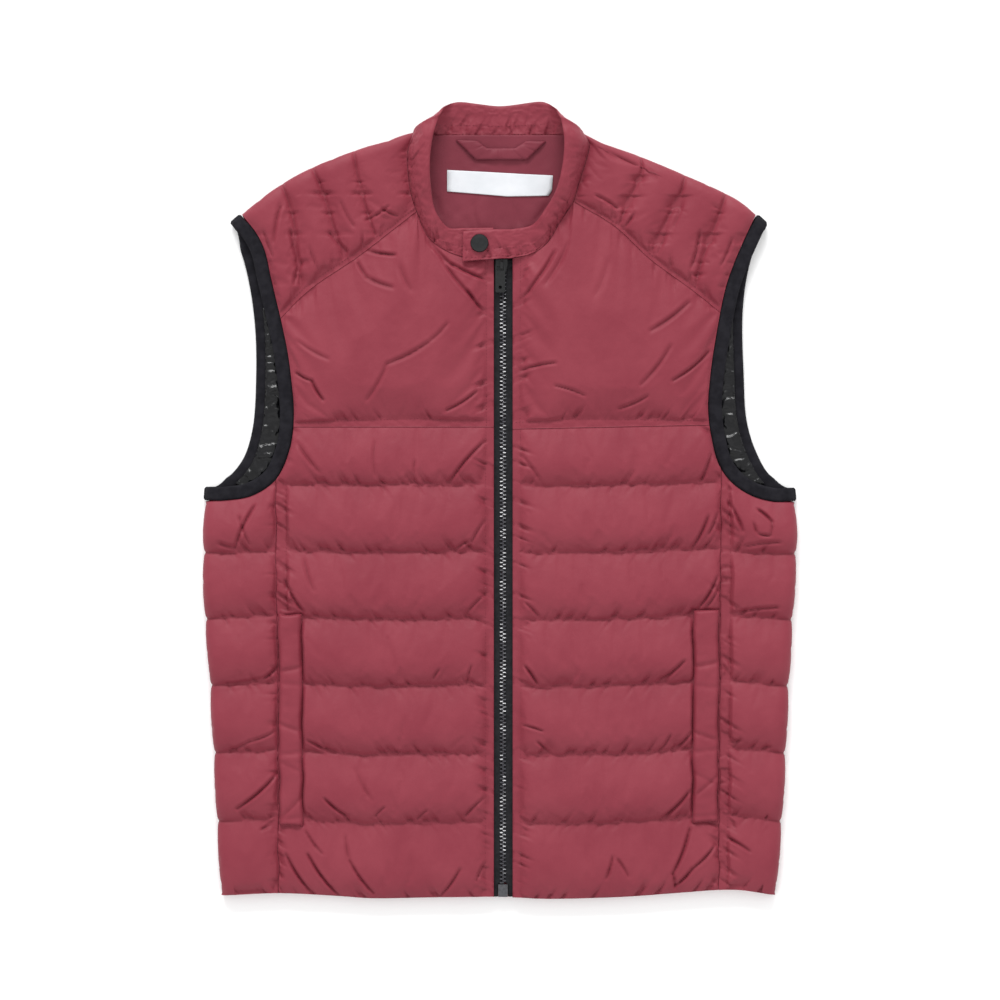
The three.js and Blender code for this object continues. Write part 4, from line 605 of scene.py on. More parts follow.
def yoke_grid(half):
    """Shoulder yoke, quilted across, folded over the shoulder to its seam on the back."""
    lines = [(0, 0), *half["yoke_quilts"], (1, 1)]
    fold_u, marks = spread([line[0] for line in lines], STEP / 170)
    seam_u = np.interp(np.arange(len(fold_u)), marks, [line[1] for line in lines])
    bay = np.concatenate([np.linspace(0, 1, b - a, endpoint=False) for a, b in zip(marks, marks[1:])] + [[1]])
    v, row_marks = spread([0, YOKE_TOPSTITCH / 105, 0.82], STEP / 105)
    first, last = half["yoke_seam"].at(seam_u), half["shoulder"].at(fold_u)
    start = half["neck"].at(lerp(half["neck_corner"], 0, v))
    end = half["armhole"].at(lerp(half["yoke_out"], 0, v))
    plan = patch(first, last, start, end, v, (fold_u + seam_u) / 2).transpose(1, 0, 2)
    inner_end = np.array([half["sign"] * BACK_YOKE_NECK[0], BACK_YOKE_NECK[1]])
    share = back_share(half, BACK_YOKE_ARMHOLE_Y)
    outer_end = back_edge(half, share)[0]
    w = np.linspace(0.2, 1, 7)
    back = patch(
        last, lerp(inner_end, outer_end, fold_u[:, None]), lerp(last[0], inner_end, w[:, None]),
        back_edge(half, share * w), w, fold_u).transpose(1, 0, 2)
    from_seam = np.linalg.norm(plan - plan[:, row_marks[1]:row_marks[1] + 1], axis=-1)
    from_seam[:, :row_marks[1]] = 0
    ends = round_edge(np.minimum(fold_u, 1 - fold_u) * 170, 10)
    edge = round_edge(from_seam, 14) * ends[:, None]
    to_line = np.array([np.abs(np.arange(len(fold_u)) - mark) for mark in marks]).min(0) * STEP
    fine = finer(np.dstack([plan, from_seam, np.broadcast_to(to_line[:, None], edge.shape), edge]))
    fx, fy, fine_seam, fine_line, fine_edge = (fine[..., k] for k in range(5))
    drawn = 1.1 * gathers(fx, fine_seam, 32 + half["sign"]) + 0.8 * gathers(fy, fine_line, 36 + half["sign"])
    height = YOKE_CROWN * arch(bay)[:, None] * edge
    outer, inner = fold_grids(plan, last, back, SEAM_TOP + height)
    folds = np.zeros((2 * outer.shape[0] - 1, 2 * outer.shape[1] - 1))
    band = (np.arange(fx.shape[1]) < 2 * row_marks[1]) & (np.arange(fx.shape[1]) > 0)
    folds[:, :fx.shape[1]] = (creases(fx, fy) + drawn) * np.where(band, 0.35, fine_edge)
    pinned = np.zeros(outer.shape[:2], bool)
    pinned[marks] = True
    pinned[:, [0, row_marks[1]]] = True
    pinned[:, plan.shape[1] + 9:] = True
    return {"outer": outer, "inner": inner, "folds": folds, "pinned": pinned, "topstitch": row_marks[1],
            "front": plan.shape[1]}


def side_grid(half):
    """Side panel: from the princess seam round the side fold to its seam on the back."""
    armhole, side, hem = half["armhole"], half["side"], half["hem"]
    rows, lines = channel_rows(0.0, 2)
    v = (rows[0] - rows) / (rows[0] - rows[-1])
    top, bottom = armhole.at(half["side_out"]), hem.at(half["hem_out"])
    seam_y = np.interp(v, [0, LINE_Y[2] / LINE_Y[-1], 1], [top[1], LINE_Y[2] + 2, bottom[1]])
    start = lerp(top, bottom, ((top[1] - seam_y) / (top[1] - bottom[1]))[:, None])
    start[:, 0] += seam_wobble(start[:, 1], top[1], half["sign"])
    last_rows = rows + np.where(v == 1, 0.01, -1e-6)
    share, crown = channel_at(last_rows)
    first_bay = rows > LINE_Y[2]
    share = np.where(first_bay, rows / LINE_Y[2], share)
    scallop = FOLD_SCALLOP * (arch(share) - 0.75) * ((v > 0) & (v < 1))
    end = side.at(v)
    end[:, 0] += half["sign"] * scallop
    u, marks = spread([0, PRINCESS_TOPSTITCH / 62, 0.76], STEP / 62)
    full = np.array([*u, 1.0])
    to_fold = patch(
        armhole.at(lerp(half["side_out"], 1, full)), hem.at(lerp(half["hem_out"], 1, full)),
        start, end, v, full)
    curve = to_fold[0] - lerp(start[0], end[0], full[:, None])
    to_fold -= curve[None] * ((1 - v) - (1 - v) ** 12)[:, None, None]
    to_fold[:, 1:-1, 1] += line_wander(to_fold, v)
    plan = to_fold[:, :-1]
    w = np.linspace(0.14, 1, 14)
    from_back = back_share(half, BACK_SEAM_TOP)
    seam_top = back_edge(half, from_back)[0]
    seam_end = np.array([half["sign"] * BACK_SEAM_X, bottom[1]])
    back = patch(
        back_edge(half, lerp(1, from_back, w)), lerp(end[-1], seam_end, w[:, None]), end,
        lerp(seam_top, seam_end, v[:, None]), v, w)
    from_seam = np.linalg.norm(plan - plan[:, :1], axis=-1)
    edge = round_edge(from_seam - (1.5 if half["sign"] > 0 else 0), 12)
    fine = finer(np.dstack([plan, from_seam]))
    fx, fy, fine_seam = (fine[..., k] for k in range(3))
    drawn = line_gathers(halfway(rows), fx, half["sign"]) + gathers(fy, fine_seam, 58 + half["sign"], 1.8)
    drawn = (creases(fx, fy) + drawn) * round_edge(fine_seam, 4)
    height = (crown * puff(share))[:, None] * edge
    if half["sign"] > 0:
        height[:, :marks[1] + 1] *= 0.25
        band_drawn = gathers(fy + 0.6 * fine_seam, np.abs(fine_seam - PRINCESS_TOPSTITCH), 92, 1.6)
        drawn += band_drawn * round_edge(fine_seam, 3)
    outer, inner = fold_grids(plan, end, back, SEAM_TOP + height)
    folds = np.zeros((2 * outer.shape[0] - 1, 2 * outer.shape[1] - 1))
    folds[:, :fx.shape[1]] = drawn
    pinned = np.zeros(outer.shape[:2], bool)
    pinned[lines] = True
    pinned[:, 0] = True
    pinned[:, marks[1]] = half["sign"] > 0
    pinned[:, plan.shape[1] + 9:] = True
    return {"outer": outer, "inner": inner, "folds": folds, "pinned": pinned, "marks": marks,
            "front": plan.shape[1]}


# Settling: seams are held and the filling pushes the slack cloth out

SIM_SCALE = 0.01
SIM_FRAMES = 22


def grid_quads(rows, columns):
    index = np.arange(rows * columns).reshape(rows, columns)
    return np.stack([index[:-1, :-1], index[1:, :-1], index[1:, 1:], index[:-1, 1:]], -1).reshape(-1, 4)


def faces_out(grid, under):
    """Whether the quads of the grid face away from the grid under it."""
    down = grid[1:, :-1] - grid[:-1, :-1]
    along = grid[:-1, 1:] - grid[:-1, :-1]
    return float((np.cross(down, along) * (grid - under)[:-1, :-1]).sum()) > 0


def from_pins(pinned, reach=10):
    """Steps from each point of the grid to the nearest held one."""
    away = np.where(pinned, 0.0, reach)
    for _ in range(reach):
        wide = np.pad(away, 1, mode="edge") + 1
        away = np.minimum.reduce([away, wide[:-2, 1:-1], wide[2:, 1:-1], wide[1:-1, :-2], wide[1:-1, 2:]])
    return away


def cloth_object(job):
    grid = job["grid"]
    quads = grid_quads(*grid.shape[:2])
    if not faces_out(grid, job["under"]):
        quads = quads[:, ::-1]
    mesh = bpy.data.meshes.new("settling")
    mesh.from_pydata((grid.reshape(-1, 3) * SIM_SCALE).tolist(), [], quads.tolist())
    obj = bpy.data.objects.new("settling", mesh)
    bpy.context.scene.collection.objects.link(obj)
    pins = obj.vertex_groups.new(name="pins")
    pins.add(np.flatnonzero(job["pinned"].ravel()).tolist(), 1.0, "REPLACE")
    slack = obj.vertex_groups.new(name="slack")
    x, y, wave = grid[..., 0], grid[..., 1], job.get("wave", 15)
    near = np.exp(-(from_pins(job["pinned"]) * job.get("step", STEP) / 10) ** 2)
    share = near * (0.55 + 0.6 * ripples.at(x, y, wave))
    share[:, job.get("taut", share.shape[1]):] = 0
    for k, weight in enumerate(np.clip(share, 0, 1).ravel().tolist()):
        slack.add([k], weight, "REPLACE")
    cloth = obj.modifiers.new("cloth", "CLOTH")
    settings = cloth.settings
    settings.quality = 6
    settings.mass = 0.25
    settings.air_damping = 2.5
    settings.bending_model = "ANGULAR"
    settings.tension_stiffness = 20
    settings.compression_stiffness = 20
    settings.shear_stiffness = 8
    settings.bending_stiffness = job.get("bending", 0.6)
    settings.bending_damping = 0.5
    settings.vertex_group_mass = "pins"
    settings.vertex_group_shrink = "slack"
    settings.shrink_min = -job["slack"][0]
    settings.shrink_max = -job["slack"][1]
    settings.use_pressure = True
    settings.uniform_pressure_force = job["pressure"]
    settings.effector_weights.gravity = job.get("sag", 0.0)
    cloth.collision_settings.use_collision = False
    return obj


def settle(jobs):
    """Grids of the jobs after their cloth has settled, no point more than the cap from its start."""
    scene = bpy.context.scene
    gravity = tuple(scene.gravity)
    scene.gravity = (0, -9.81, 0)
    objects = [cloth_object(job) for job in jobs]
    for number in range(1, SIM_FRAMES + 1):
        scene.frame_set(number)
    depsgraph = bpy.context.evaluated_depsgraph_get()
    settled = []
    for job, obj in zip(jobs, objects):
        mesh = obj.evaluated_get(depsgraph).data
        points = np.empty(len(mesh.vertices) * 3)
        mesh.vertices.foreach_get("co", points)
        move = points.reshape(job["grid"].shape) / SIM_SCALE - job["grid"]
        length = np.linalg.norm(move, axis=-1, keepdims=True)
        cap = job.get("cap", 6.0)
        settled.append(job["grid"] + move * np.minimum(1, cap / np.maximum(length, 1e-9)))
    for obj in objects:
        mesh = obj.data
        bpy.data.objects.remove(obj)
        bpy.data.meshes.remove(mesh)
    scene.gravity = gravity
    scene.frame_set(1)
    return settled


def puckered(grid, pinned, high=0.35, wave=5.0):
    """Lets held lines run a little up and down, and starts the free cloth uneven."""
    out = grid.copy()
    x, y = grid[..., 0] + 0.31 * grid[..., 2], grid[..., 1]
    out[..., 2] += np.where(pinned, high, 0.14) * ripples.at(x, y, wave)
    return out


# Meshes

def add_object(name, vertices, faces, material, body="garment", smooth_faces=True):
    mesh = bpy.data.meshes.new(name)
    mesh.from_pydata((np.asarray(vertices, float) * MM).tolist(), [], [list(map(int, f)) for f in faces])
    mesh.polygons.foreach_set("use_smooth", [smooth_faces] * len(mesh.polygons))
    mesh.materials.append(material)
    mesh.update()
    obj = bpy.data.objects.new(name, mesh)
    bpy.context.scene.collection.objects.link(obj)
    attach(obj, body)
    return obj


def signed_volume(vertices, faces):
    quads = np.array(faces)
    a, b, c, d = (vertices[quads[:, k]] for k in range(4))
    return float(sum(np.einsum("ij,ij->i", a, np.cross(p, q)).sum() for p, q in ((b, c), (c, d))))


def rim_of(rows, columns):
    index = np.arange(rows * columns).reshape(rows, columns)
    return np.concatenate([index[0], index[1:-1, -1], index[-1, ::-1], index[-2:0:-1, 0]])


def closed_padding(name, outer, inner, material):
    """Closed piece with an inner side half as fine as its outer one."""
    rows, columns = outer.shape[:2]
    rim, low = rim_of(rows, columns), rim_of(*inner.shape[:2]) + rows * columns
    band = np.stack([rim[::2], rim[1::2], np.roll(rim, -2)[::2], np.roll(low, -1), low], -1)
    sides = [grid_quads(rows, columns), grid_quads(*inner.shape[:2])[:, ::-1] + rows * columns, band[:, ::-1]]
    if not faces_out(outer[::2, ::2], inner):
        sides = [side[:, ::-1] for side in sides]
    faces = [face for side in sides for face in side.tolist()]
    return add_object(name, np.vstack([outer.reshape(-1, 3), inner.reshape(-1, 3)]), faces, material)


def closed_wall(name, outer, inner, material):
    rows, columns = outer.shape[:2]
    count = rows * columns
    quads = grid_quads(rows, columns)
    rim = rim_of(rows, columns)
    after = np.roll(rim, -1)
    band = np.stack([rim, after, after + count, rim + count], -1)
    faces = np.vstack([quads, quads[:, ::-1] + count, band])
    vertices = np.vstack([outer.reshape(-1, 3), inner.reshape(-1, 3)])
    if signed_volume(vertices, faces) < 0:
        faces = faces[:, ::-1]
    return add_object(name, vertices, faces, material)


def closed_tube(name, sections, material):
    sections = np.asarray(sections)
    rounds, around = sections.shape[:2]
    index = np.arange(rounds * around).reshape(rounds, around)
    ahead = np.roll(index, -1, 0)
    faces = np.stack([index, ahead, np.roll(ahead, -1, 1), np.roll(index, -1, 1)], -1).reshape(-1, 4)
    vertices = sections.reshape(-1, 3)
    if signed_volume(vertices, faces) < 0:
        faces = faces[:, ::-1]
    return add_object(name, vertices, faces, material)


def lift(grid, thick):
    """The grid moved down by a thickness."""
    under = grid.copy()
    under[..., 2] -= thick
    return under


def plate_grid(outline, top_at, rings=14, step=2.6):
    """Polar grid over a closed outline of the plan, opened along one spoke."""
    corners = np.array(outline, float)
    middle = corners.mean(0)
    rim = []
    for a, b in zip(corners, np.roll(corners, -1, 0)):
        count = max(1, round(np.linalg.norm(b - a) / step))
        rim.extend(lerp(a, b, t) for t in np.linspace(0, 1, count, endpoint=False))
    rim = np.array(rim)
    shares = np.linspace(0, 1, rings)[1:, None, None]
    plan = middle + (rim[None] - middle) * shares
    return middle, with_z(plan, top_at(plan[..., 0], plan[..., 1]))


def closed_plate(name, outline, top_at, thick, material, rings=14, step=2.6):
    """Thin plate over a closed outline, its top following top_at."""
    middle, grid = plate_grid(outline, top_at, rings, step)
    rows, columns = grid.shape[:2]
    count = rows * columns
    index = np.arange(count).reshape(rows, columns)
    ahead = np.roll(index, -1, 1)
    quads = np.stack([index[:-1], index[1:], ahead[1:], ahead[:-1]], -1).reshape(-1, 4)
    band = np.stack([index[-1], index[-1] + count, ahead[-1] + count, ahead[-1]], -1)
    top = [*middle, float(top_at(*middle))]
    under = [*top[:2], top[2] - thick]
    vertices = np.vstack([grid.reshape(-1, 3), lift(grid, thick).reshape(-1, 3), top, under])
    faces = [*quads, *(quads[:, ::-1] + count), *band]
    for a, b in zip(index[0], ahead[0]):
        faces.append([2 * count, a, b])
        faces.append([2 * count + 1, b + count, a + count])
    a, b, c = (vertices[quads[0][k]] for k in range(3))
    if np.cross(b - a, c - a)[2] < 0:
        faces = [list(face)[::-1] for face in faces]
    return add_object(name, vertices, faces, material)


def stitches(name, lines, material, pitch=2.9, length=2.1, radius=0.24, raised=0.12):
    """Topstitching: short spindles of thread along lines of points."""
    vertices, faces = [], []
    for line in lines:
        line = np.asarray(line)
        steps = np.linalg.norm(np.diff(line, axis=0), axis=1)
        run = np.concatenate([[0], np.cumsum(steps)])
        at = lambda s: np.array([np.interp(s, run, line[:, k]) for k in range(3)])
        for start in np.arange(0.4, run[-1] - length, pitch):
            a, b = at(start), at(start + length)
            along = (b - a) / np.linalg.norm(b - a)
            side = np.cross(along, [0, 0, 1.0])
            side /= np.linalg.norm(side)
            up = np.cross(side, along)
            middle = (a + b) / 2 + up * raised
            ring = [middle + way * radius for way in (side, up, -side, -up)]
            base = len(vertices)
            vertices.extend([a, b, *ring])
            for k in range(4):
                p, q = base + 2 + k, base + 2 + (k + 1) % 4
                faces.extend([[base, q, p], [base + 1, p, q]])
    return add_object(name, vertices, faces, material)


# Materials

def linear(red, green, blue):
    """Linear colour of an sRGB one given from 0 to 255."""
    values = [c / 255 for c in (red, green, blue)]
    return [c / 12.92 if c <= 0.04045 else ((c + 0.055) / 1.055) ** 2.4 for c in values] + [1.0]


def new_material(name, roughness, specular=0.5, sheen=0.0, metallic=0.0):
    material = bpy.data.materials.new(name)
    material.use_nodes = True
    shader = material.node_tree.nodes["Principled BSDF"]
    shader.inputs["Roughness"].default_value = roughness
    shader.inputs["Specular IOR Level"].default_value = specular
    shader.inputs["Metallic"].default_value = metallic
    shader.inputs["Sheen Weight"].default_value = sheen
    return material


def object_coordinates(material, stretch=(1, 1, 1)):
    nodes, links = material.node_tree.nodes, material.node_tree.links
    place = nodes.new("ShaderNodeTexCoord")
    mapping = nodes.new("ShaderNodeMapping")
    mapping.inputs["Scale"].default_value = stretch
    links.new(place.outputs["Object"], mapping.inputs["Vector"])
    return mapping.outputs["Vector"]


def noise_node(material, scale, detail=3.0, roughness=0.55, stretch=(1, 1, 1)):
    nodes, links = material.node_tree.nodes, material.node_tree.links
    node = nodes.new("ShaderNodeTexNoise")
    node.inputs["Scale"].default_value = scale
    node.inputs["Detail"].default_value = detail
    node.inputs["Roughness"].default_value = roughness
    links.new(object_coordinates(material, stretch), node.inputs["Vector"])
    return node.outputs["Fac"]


def mottle(material, low, high, scale, detail=3.0, from_value=0.35, to_value=0.65):
    """Base colour that varies between two tones."""
    nodes, links = material.node_tree.nodes, material.node_tree.links
    ramp = nodes.new("ShaderNodeValToRGB")
    ramp.color_ramp.elements[0].position = from_value
    ramp.color_ramp.elements[1].position = to_value
    ramp.color_ramp.elements[0].color = low
    ramp.color_ramp.elements[1].color = high
    links.new(noise_node(material, scale, detail), ramp.inputs["Fac"])
    links.new(ramp.outputs["Color"], nodes["Principled BSDF"].inputs["Base Color"])


def add_bump(material, heights, distance, strength=1.0):
    """Bump from one or more height outputs, each with its weight."""
    nodes, links = material.node_tree.nodes, material.node_tree.links
    total = None
    for output, weight in heights:
        scaled = nodes.new("ShaderNodeMath")
        scaled.operation = "MULTIPLY"
        scaled.inputs[1].default_value = weight
        links.new(output, scaled.inputs[0])
        if total is None:
            total = scaled.outputs[0]
            continue
        added = nodes.new("ShaderNodeMath")
        added.operation = "ADD"
        links.new(total, added.inputs[0])
        links.new(scaled.outputs[0], added.inputs[1])
        total = added.outputs[0]
    bump = nodes.new("ShaderNodeBump")
    bump.inputs["Distance"].default_value = distance
    bump.inputs["Strength"].default_value = strength
    links.new(total, bump.inputs["Height"])
    links.new(bump.outputs["Normal"], nodes["Principled BSDF"].inputs["Normal"])


def weave(material, pitch):
    """Height of a plain weave, threads along X and Y a pitch apart, in metres."""
    nodes, links = material.node_tree.nodes, material.node_tree.links
    outputs = []
    for direction in ("X", "Y"):
        wave = nodes.new("ShaderNodeTexWave")
        wave.bands_direction = direction
        wave.inputs["Scale"].default_value = 0.314 / pitch
        wave.inputs["Distortion"].default_value = 0.6
        links.new(object_coordinates(material), wave.inputs["Vector"])
        outputs.append(wave.outputs["Fac"])
    return outputs


def paint_crease_shade(material, tone, full=0.4, none=0.485):
    """Painted shade: darkens the base colour towards the tone down in the creases, found from the mesh's own
    curvature, where cloth lies against cloth and light does not reach.
    """
    nodes, links = material.node_tree.nodes, material.node_tree.links
    base = nodes["Principled BSDF"].inputs["Base Color"]
    mottled = base.links[0].from_socket
    shape = nodes.new("ShaderNodeNewGeometry")
    amount = nodes.new("ShaderNodeMapRange")
    amount.inputs["From Min"].default_value = full
    amount.inputs["From Max"].default_value = none
    links.new(shape.outputs["Pointiness"], amount.inputs["Value"])
    mixed = nodes.new("ShaderNodeMixRGB")
    mixed.inputs["Color1"].default_value = tone
    links.new(amount.outputs["Result"], mixed.inputs["Fac"])
    links.new(mottled, mixed.inputs["Color2"])
    links.new(mixed.outputs["Color"], base)


def nylon_material(name, low, high, crinkle=1.0):
    """Washed nylon: satin, finely crinkled, with a little sheen, and with shade painted into its creases."""
    material = new_material(name, roughness=0.55, specular=0.25, sheen=0.04)
    mottle(material, linear(*low), linear(*high), 26, 5.0)
    # painted shade: the colour turns dark red down in the creases, by the mesh's curvature
    paint_crease_shade(material, linear(92, 6, 26))
    threads = weave(material, 0.0007)
    add_bump(material, [
        (noise_node(material, 95, 3.0, 0.5), 0.4 * crinkle),
        (noise_node(material, 330, 2.0, 0.5), 0.08 * crinkle),
        (threads[0], 0.03), (threads[1], 0.03)], 0.0011)
    return material


def binding_material():
    material = new_material("binding_knit", roughness=0.9, specular=0.15)
    mottle(material, linear(21, 20, 25), linear(31, 30, 35), 140, 2.0)
    ribs = weave(material, 0.0008)
    add_bump(material, [(noise_node(material, 260, 2.0), 0.4), (ribs[0], 0.15), (ribs[1], 0.1)], 0.0005)
    return material


def lining_material():
    material = new_material("lining_nylon", roughness=0.26, specular=0.3)
    mottle(material, linear(8, 8, 10), linear(15, 15, 18), 60, 3.0)
    add_bump(material, [(noise_node(material, 70, 2.0, 0.5), 1.0)], 0.0012)
    return material


def tape_material():
    material = new_material("zip_tape_weave", roughness=0.85, specular=0.25)
    mottle(material, linear(24, 24, 27), linear(34, 34, 37), 220, 2.0)
    ribs = weave(material, 0.0006)
    add_bump(material, [(ribs[0], 0.4), (ribs[1], 0.2)], 0.0003)
    return material


def hard_material(name, low, high, roughness, metallic=0.0, specular=0.5):
    material = new_material(name, roughness=roughness, specular=specular, metallic=metallic)
    mottle(material, linear(*low), linear(*high), 400, 2.0)
    add_bump(material, [(noise_node(material, 900, 2.0), 1.0)], 0.00004)
    return material


def label_material():
    material = new_material("label_satin", roughness=0.6, specular=0.3, sheen=0.1)
    mottle(material, linear(206, 209, 213), linear(213, 215, 219), 60, 2.0)
    threads = weave(material, 0.0005)
    add_bump(material, [(threads[0], 0.3), (threads[1], 0.5)], 0.00006)
    return material


def thread_material(name, colour):
    material = new_material(name, roughness=0.7, specular=0.35)
    tone = linear(*colour)
    mottle(material, [c * 0.85 for c in tone[:3]] + [1.0], tone, 500, 2.0)
    return material


shell = nylon_material("shell_nylon", (125, 42, 56), (132, 49, 62))
# Facing and hanger loop are the shell's own fabric; their colour is made darker as painted shade for the
# inside of the neck under the collar
shaded_facing_cloth = nylon_material("facing_nylon_shaded", (108, 36, 50), (116, 42, 56), 0.8)
binding_knit = binding_material()
lining_nylon = lining_material()
tape_weave = tape_material()
teeth_plastic = hard_material("teeth_plastic", (42, 42, 47), (58, 58, 64), 0.24, 0.0, 0.7)
black_metal = hard_material("black_metal", (22, 23, 24), (30, 31, 32), 0.3, 0.35)
label_satin = label_material()
shell_thread = thread_material("shell_thread", (132, 48, 62))


# Padded panels

halves = [curves_of(LEFT), curves_of(RIGHT)]
topstitching = []
jobs = []
panels = []


def add_job(key, half, grid, under, pinned, slack, pressure, **more):
    panels.append((key, half))
    jobs.append({
        "grid": puckered(grid, pinned), "under": under, "pinned": pinned,
        "slack": slack, "pressure": pressure, **more})


SLACK = (0.005, 0.26)
PRESSURE = 0.5

built = {}
for half in halves:
    side = half["name"]
    front, chest, yoke, flank = front_grid(half), chest_grid(half), yoke_grid(half), side_grid(half)
    built[side] = {"front": front, "chest": chest, "yoke": yoke, "side": flank}
    for key in ("front", "chest"):
        made = built[side][key]
        made["inner"] = made["outer"].copy()
        made["inner"][..., 2] = FRONT_INSIDE
    for key in ("front", "chest", "yoke", "side"):
        made = built[side][key]
        taut = made["front"] - 2 if "front" in made else made["outer"].shape[1]
        add_job(key, side, made["outer"], made["inner"], made["pinned"], SLACK, PRESSURE, sag=0.25, taut=taut)


# Collar

def collar_form(place):
    rows = np.array([[COLLAR_PARTS.index(row[0]) + row[1], *row[2:]] for row in COLLAR])
    k = int(np.clip(np.searchsorted(rows[:, 0], place - 1e-9), 1, len(rows) - 1))
    low, high = rows[k - 1], rows[k]
    return lerp(low, high, smooth(place, low[0], high[0]))[1:]


def collar_section(foot, edge, form):
    """Outer and inner points of one section, from the seam at its foot to its top edge."""
    low, rise, thick, out_x, out_y = form
    across = edge - foot
    wide = np.linalg.norm(across)
    across = across / wide
    steep = rise / (rise + wide * 0.6)

    def middle(s):
        return np.stack([wide * s ** (1 + 0.9 * steep), low + rise * np.sin(s * math.pi / 2)], -1)

    shares = np.linspace(0, 1, COLLAR_ROWS)
    point = middle(shares)
    tangent = middle(np.minimum(shares + 0.02, 1)) - middle(np.maximum(shares - 0.02, 0))
    tangent /= np.linalg.norm(tangent, axis=1, keepdims=True)
    normal = np.stack([-tangent[:, 1], tangent[:, 0]], -1)
    half = thick / 2 * (0.4 + 0.6 * np.sqrt(1 - np.clip((shares - 0.92) / 0.08, 0, 1) ** 2))
    shift = max(0.0, -normal[0, 0]) * thick / 2 * (1 - shares)
    bulge = np.outer(arch(shares), [out_x, out_y])
    faces = []
    for face in (1, -1):
        reach = np.maximum(point[:, 0] + normal[:, 0] * half * face + shift, 0)
        z = np.maximum(point[:, 1] + normal[:, 1] * half * face, 0)
        faces.append(with_z(foot + reach[:, None] * across + bulge, z))
    return faces


def collar_grids():
    left, right = halves
    sample = lambda curve, part, a=0, b=1: curve.at(np.linspace(a, b, COLLAR_STEPS[part] + 1))
    lower = {
        "left": sample(left["neck"], "left", 1, 0), "back": sample(Curve(BACK_NECK), "back"),
        "right": sample(right["neck"], "right"), "tab": sample(Curve(TAB_LOWER), "tab")}
    upper = {part: sample(Curve(OPENING[part]), part) for part in ("left", "back", "right")}
    upper["tab"] = sample(Curve(TAB_UPPER), "tab")
    outer, inner = [], []
    for p, part in enumerate(COLLAR_PARTS):
        count = COLLAR_STEPS[part]
        for k in range(0 if p == 0 else 1, count + 1):
            place = p + k / count
            along = lower[part][min(k + 1, count)] - lower[part][max(k - 1, 0)]
            along /= np.linalg.norm(along)
            inside = np.array([0.0, 1.0]) if part == "back" else np.array([along[1], -along[0]])
            near_back = {"left": smooth(place, 0.86, 1), "right": 1 - smooth(place, 2, 2.14)}.get(part, 0)
            inside = lerp(inside, np.array([0.0, 1.0]), near_back)
            inside /= np.linalg.norm(inside)
            foot = lower[part][k] + inside * (0 if part == "tab" else COLLAR_CLEAR)
            faces = collar_section(foot, upper[part][k], collar_form(place))
            outer.append(faces[0])
            inner.append(faces[1])
    return np.array(outer), np.array(inner)


collar_outer, collar_inner = collar_grids()
collar_pins = np.zeros(collar_outer.shape[:2], bool)
collar_pins[:, [0, 2, 7, -5, -2, -1]] = True
collar_pins[[0, -1]] = True
for key, grid, under, pressure in (
        ("collar_outer", collar_outer, collar_inner, 0.4), ("collar_inner", collar_inner, collar_outer, 0.3)):
    add_job(key, None, grid, under, collar_pins, (0.01, 0.16), pressure, wave=12, cap=2, step=COLLAR_STEP)


# Lining that shows in the armholes

def lining_grid(half):
    back, armhole = half["back_armhole"], half["armhole"]
    v = np.linspace(0, 1, 96)
    outer_share = lerp(back.share_where(1, 168), back.share_where(1, 21), v)
    inner_share = lerp(armhole.share_where(1, 172), armhole.share_where(1, 3.8), v)

    def edge(curve, share, distance):
        tangent = curve.tangent(share)
        return curve.at(share) + np.stack([-tangent[:, 1], tangent[:, 0]], -1) * -half["sign"] * distance

    outer = edge(back, outer_share, LINING_FROM_BACK_EDGE)
    inner = edge(armhole, inner_share, LINING_UNDER_FRONT)
    u = np.linspace(0, 1, 22)
    grid = with_z(lerp(outer[:, None], inner[:, None], u[None, :, None]), SKIN_UNDER + SKIN_WALL)
    under_front = np.linalg.norm(grid - grid[:, -1:], axis=-1) < LINING_UNDER_FRONT + BINDING_WIDTH + 1
    pinned = under_front.copy()
    pinned[[0, -1]] = True
    pinned[:, 0] = True
    return grid, pinned


linings = {}
for half in halves:
    grid, pinned = lining_grid(half)
    linings[half["name"]] = pinned
    add_job("lining", half["name"], grid, lift(grid, 1), pinned, (0.2, 0.55), 0.6,
            wave=11, cap=3.5, bending=0.2)

settled = dict(zip(panels, settle(jobs)))

for half in halves:
    side = half["name"]
    for key in ("front", "chest", "yoke", "side"):
        made = built[side][key]
        outer = settled[key, side]
        inner = made["inner"]
        on_top = inner[..., 2] > BACK_TOP + 1.5
        outer[..., 2] = np.where(on_top, np.maximum(outer[..., 2], inner[..., 2] + 1.2), outer[..., 2])
        outer = finer(outer)
        lowest = np.minimum(outer[..., 2], SEAM_TOP - 0.6)
        outer[..., 2] = np.maximum(outer[..., 2] - FOLD_DEPTH * made["folds"], lowest)
        outer[..., 2] = np.maximum(outer[..., 2], 0)
        made["outer"] = draw_in(outer)
        piece = closed_padding(f"{key}_{side}_quilted", made["outer"], draw_in(inner), shell)
        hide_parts(f"{key}_{side}")

collar_outer, collar_inner = settled["collar_outer", None], settled["collar_inner", None]
collar_outer, collar_inner = finer(collar_outer), finer(collar_inner)
collar_along = 1.15 * np.arange(len(collar_outer))[:, None]
collar_up = COLLAR_STEP / 2 * np.arange(collar_outer.shape[1])[None]
free = smooth(collar_up, 0, 1.5) * (1 - smooth(collar_up, 19, 23))
for row in (2, 7):
    away = np.abs(collar_up - COLLAR_STEP * row)
    collar_outer[..., 2] -= free * gathers(collar_along - 0.6 * away, away, 60 + row, 1.8)
for row in (1, 15):
    away = np.abs(collar_up - COLLAR_STEP * row)
    collar_inner[..., 2] -= free * gathers(collar_along + 0.6 * away, away, 70 + row, 1.4)
collar_inner[..., 2] -= free * creases(collar_inner[..., 0], collar_inner[..., 1], COLLAR_CREASES)
collar_outer[..., 2] = np.maximum(collar_outer[..., 2], 0)
collar_inner[..., 2] = np.maximum(collar_inner[..., 2], 0)
collar = closed_wall("collar_quilted", collar_outer, collar_inner, shell)
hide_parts("collar")


# Binding round an armhole

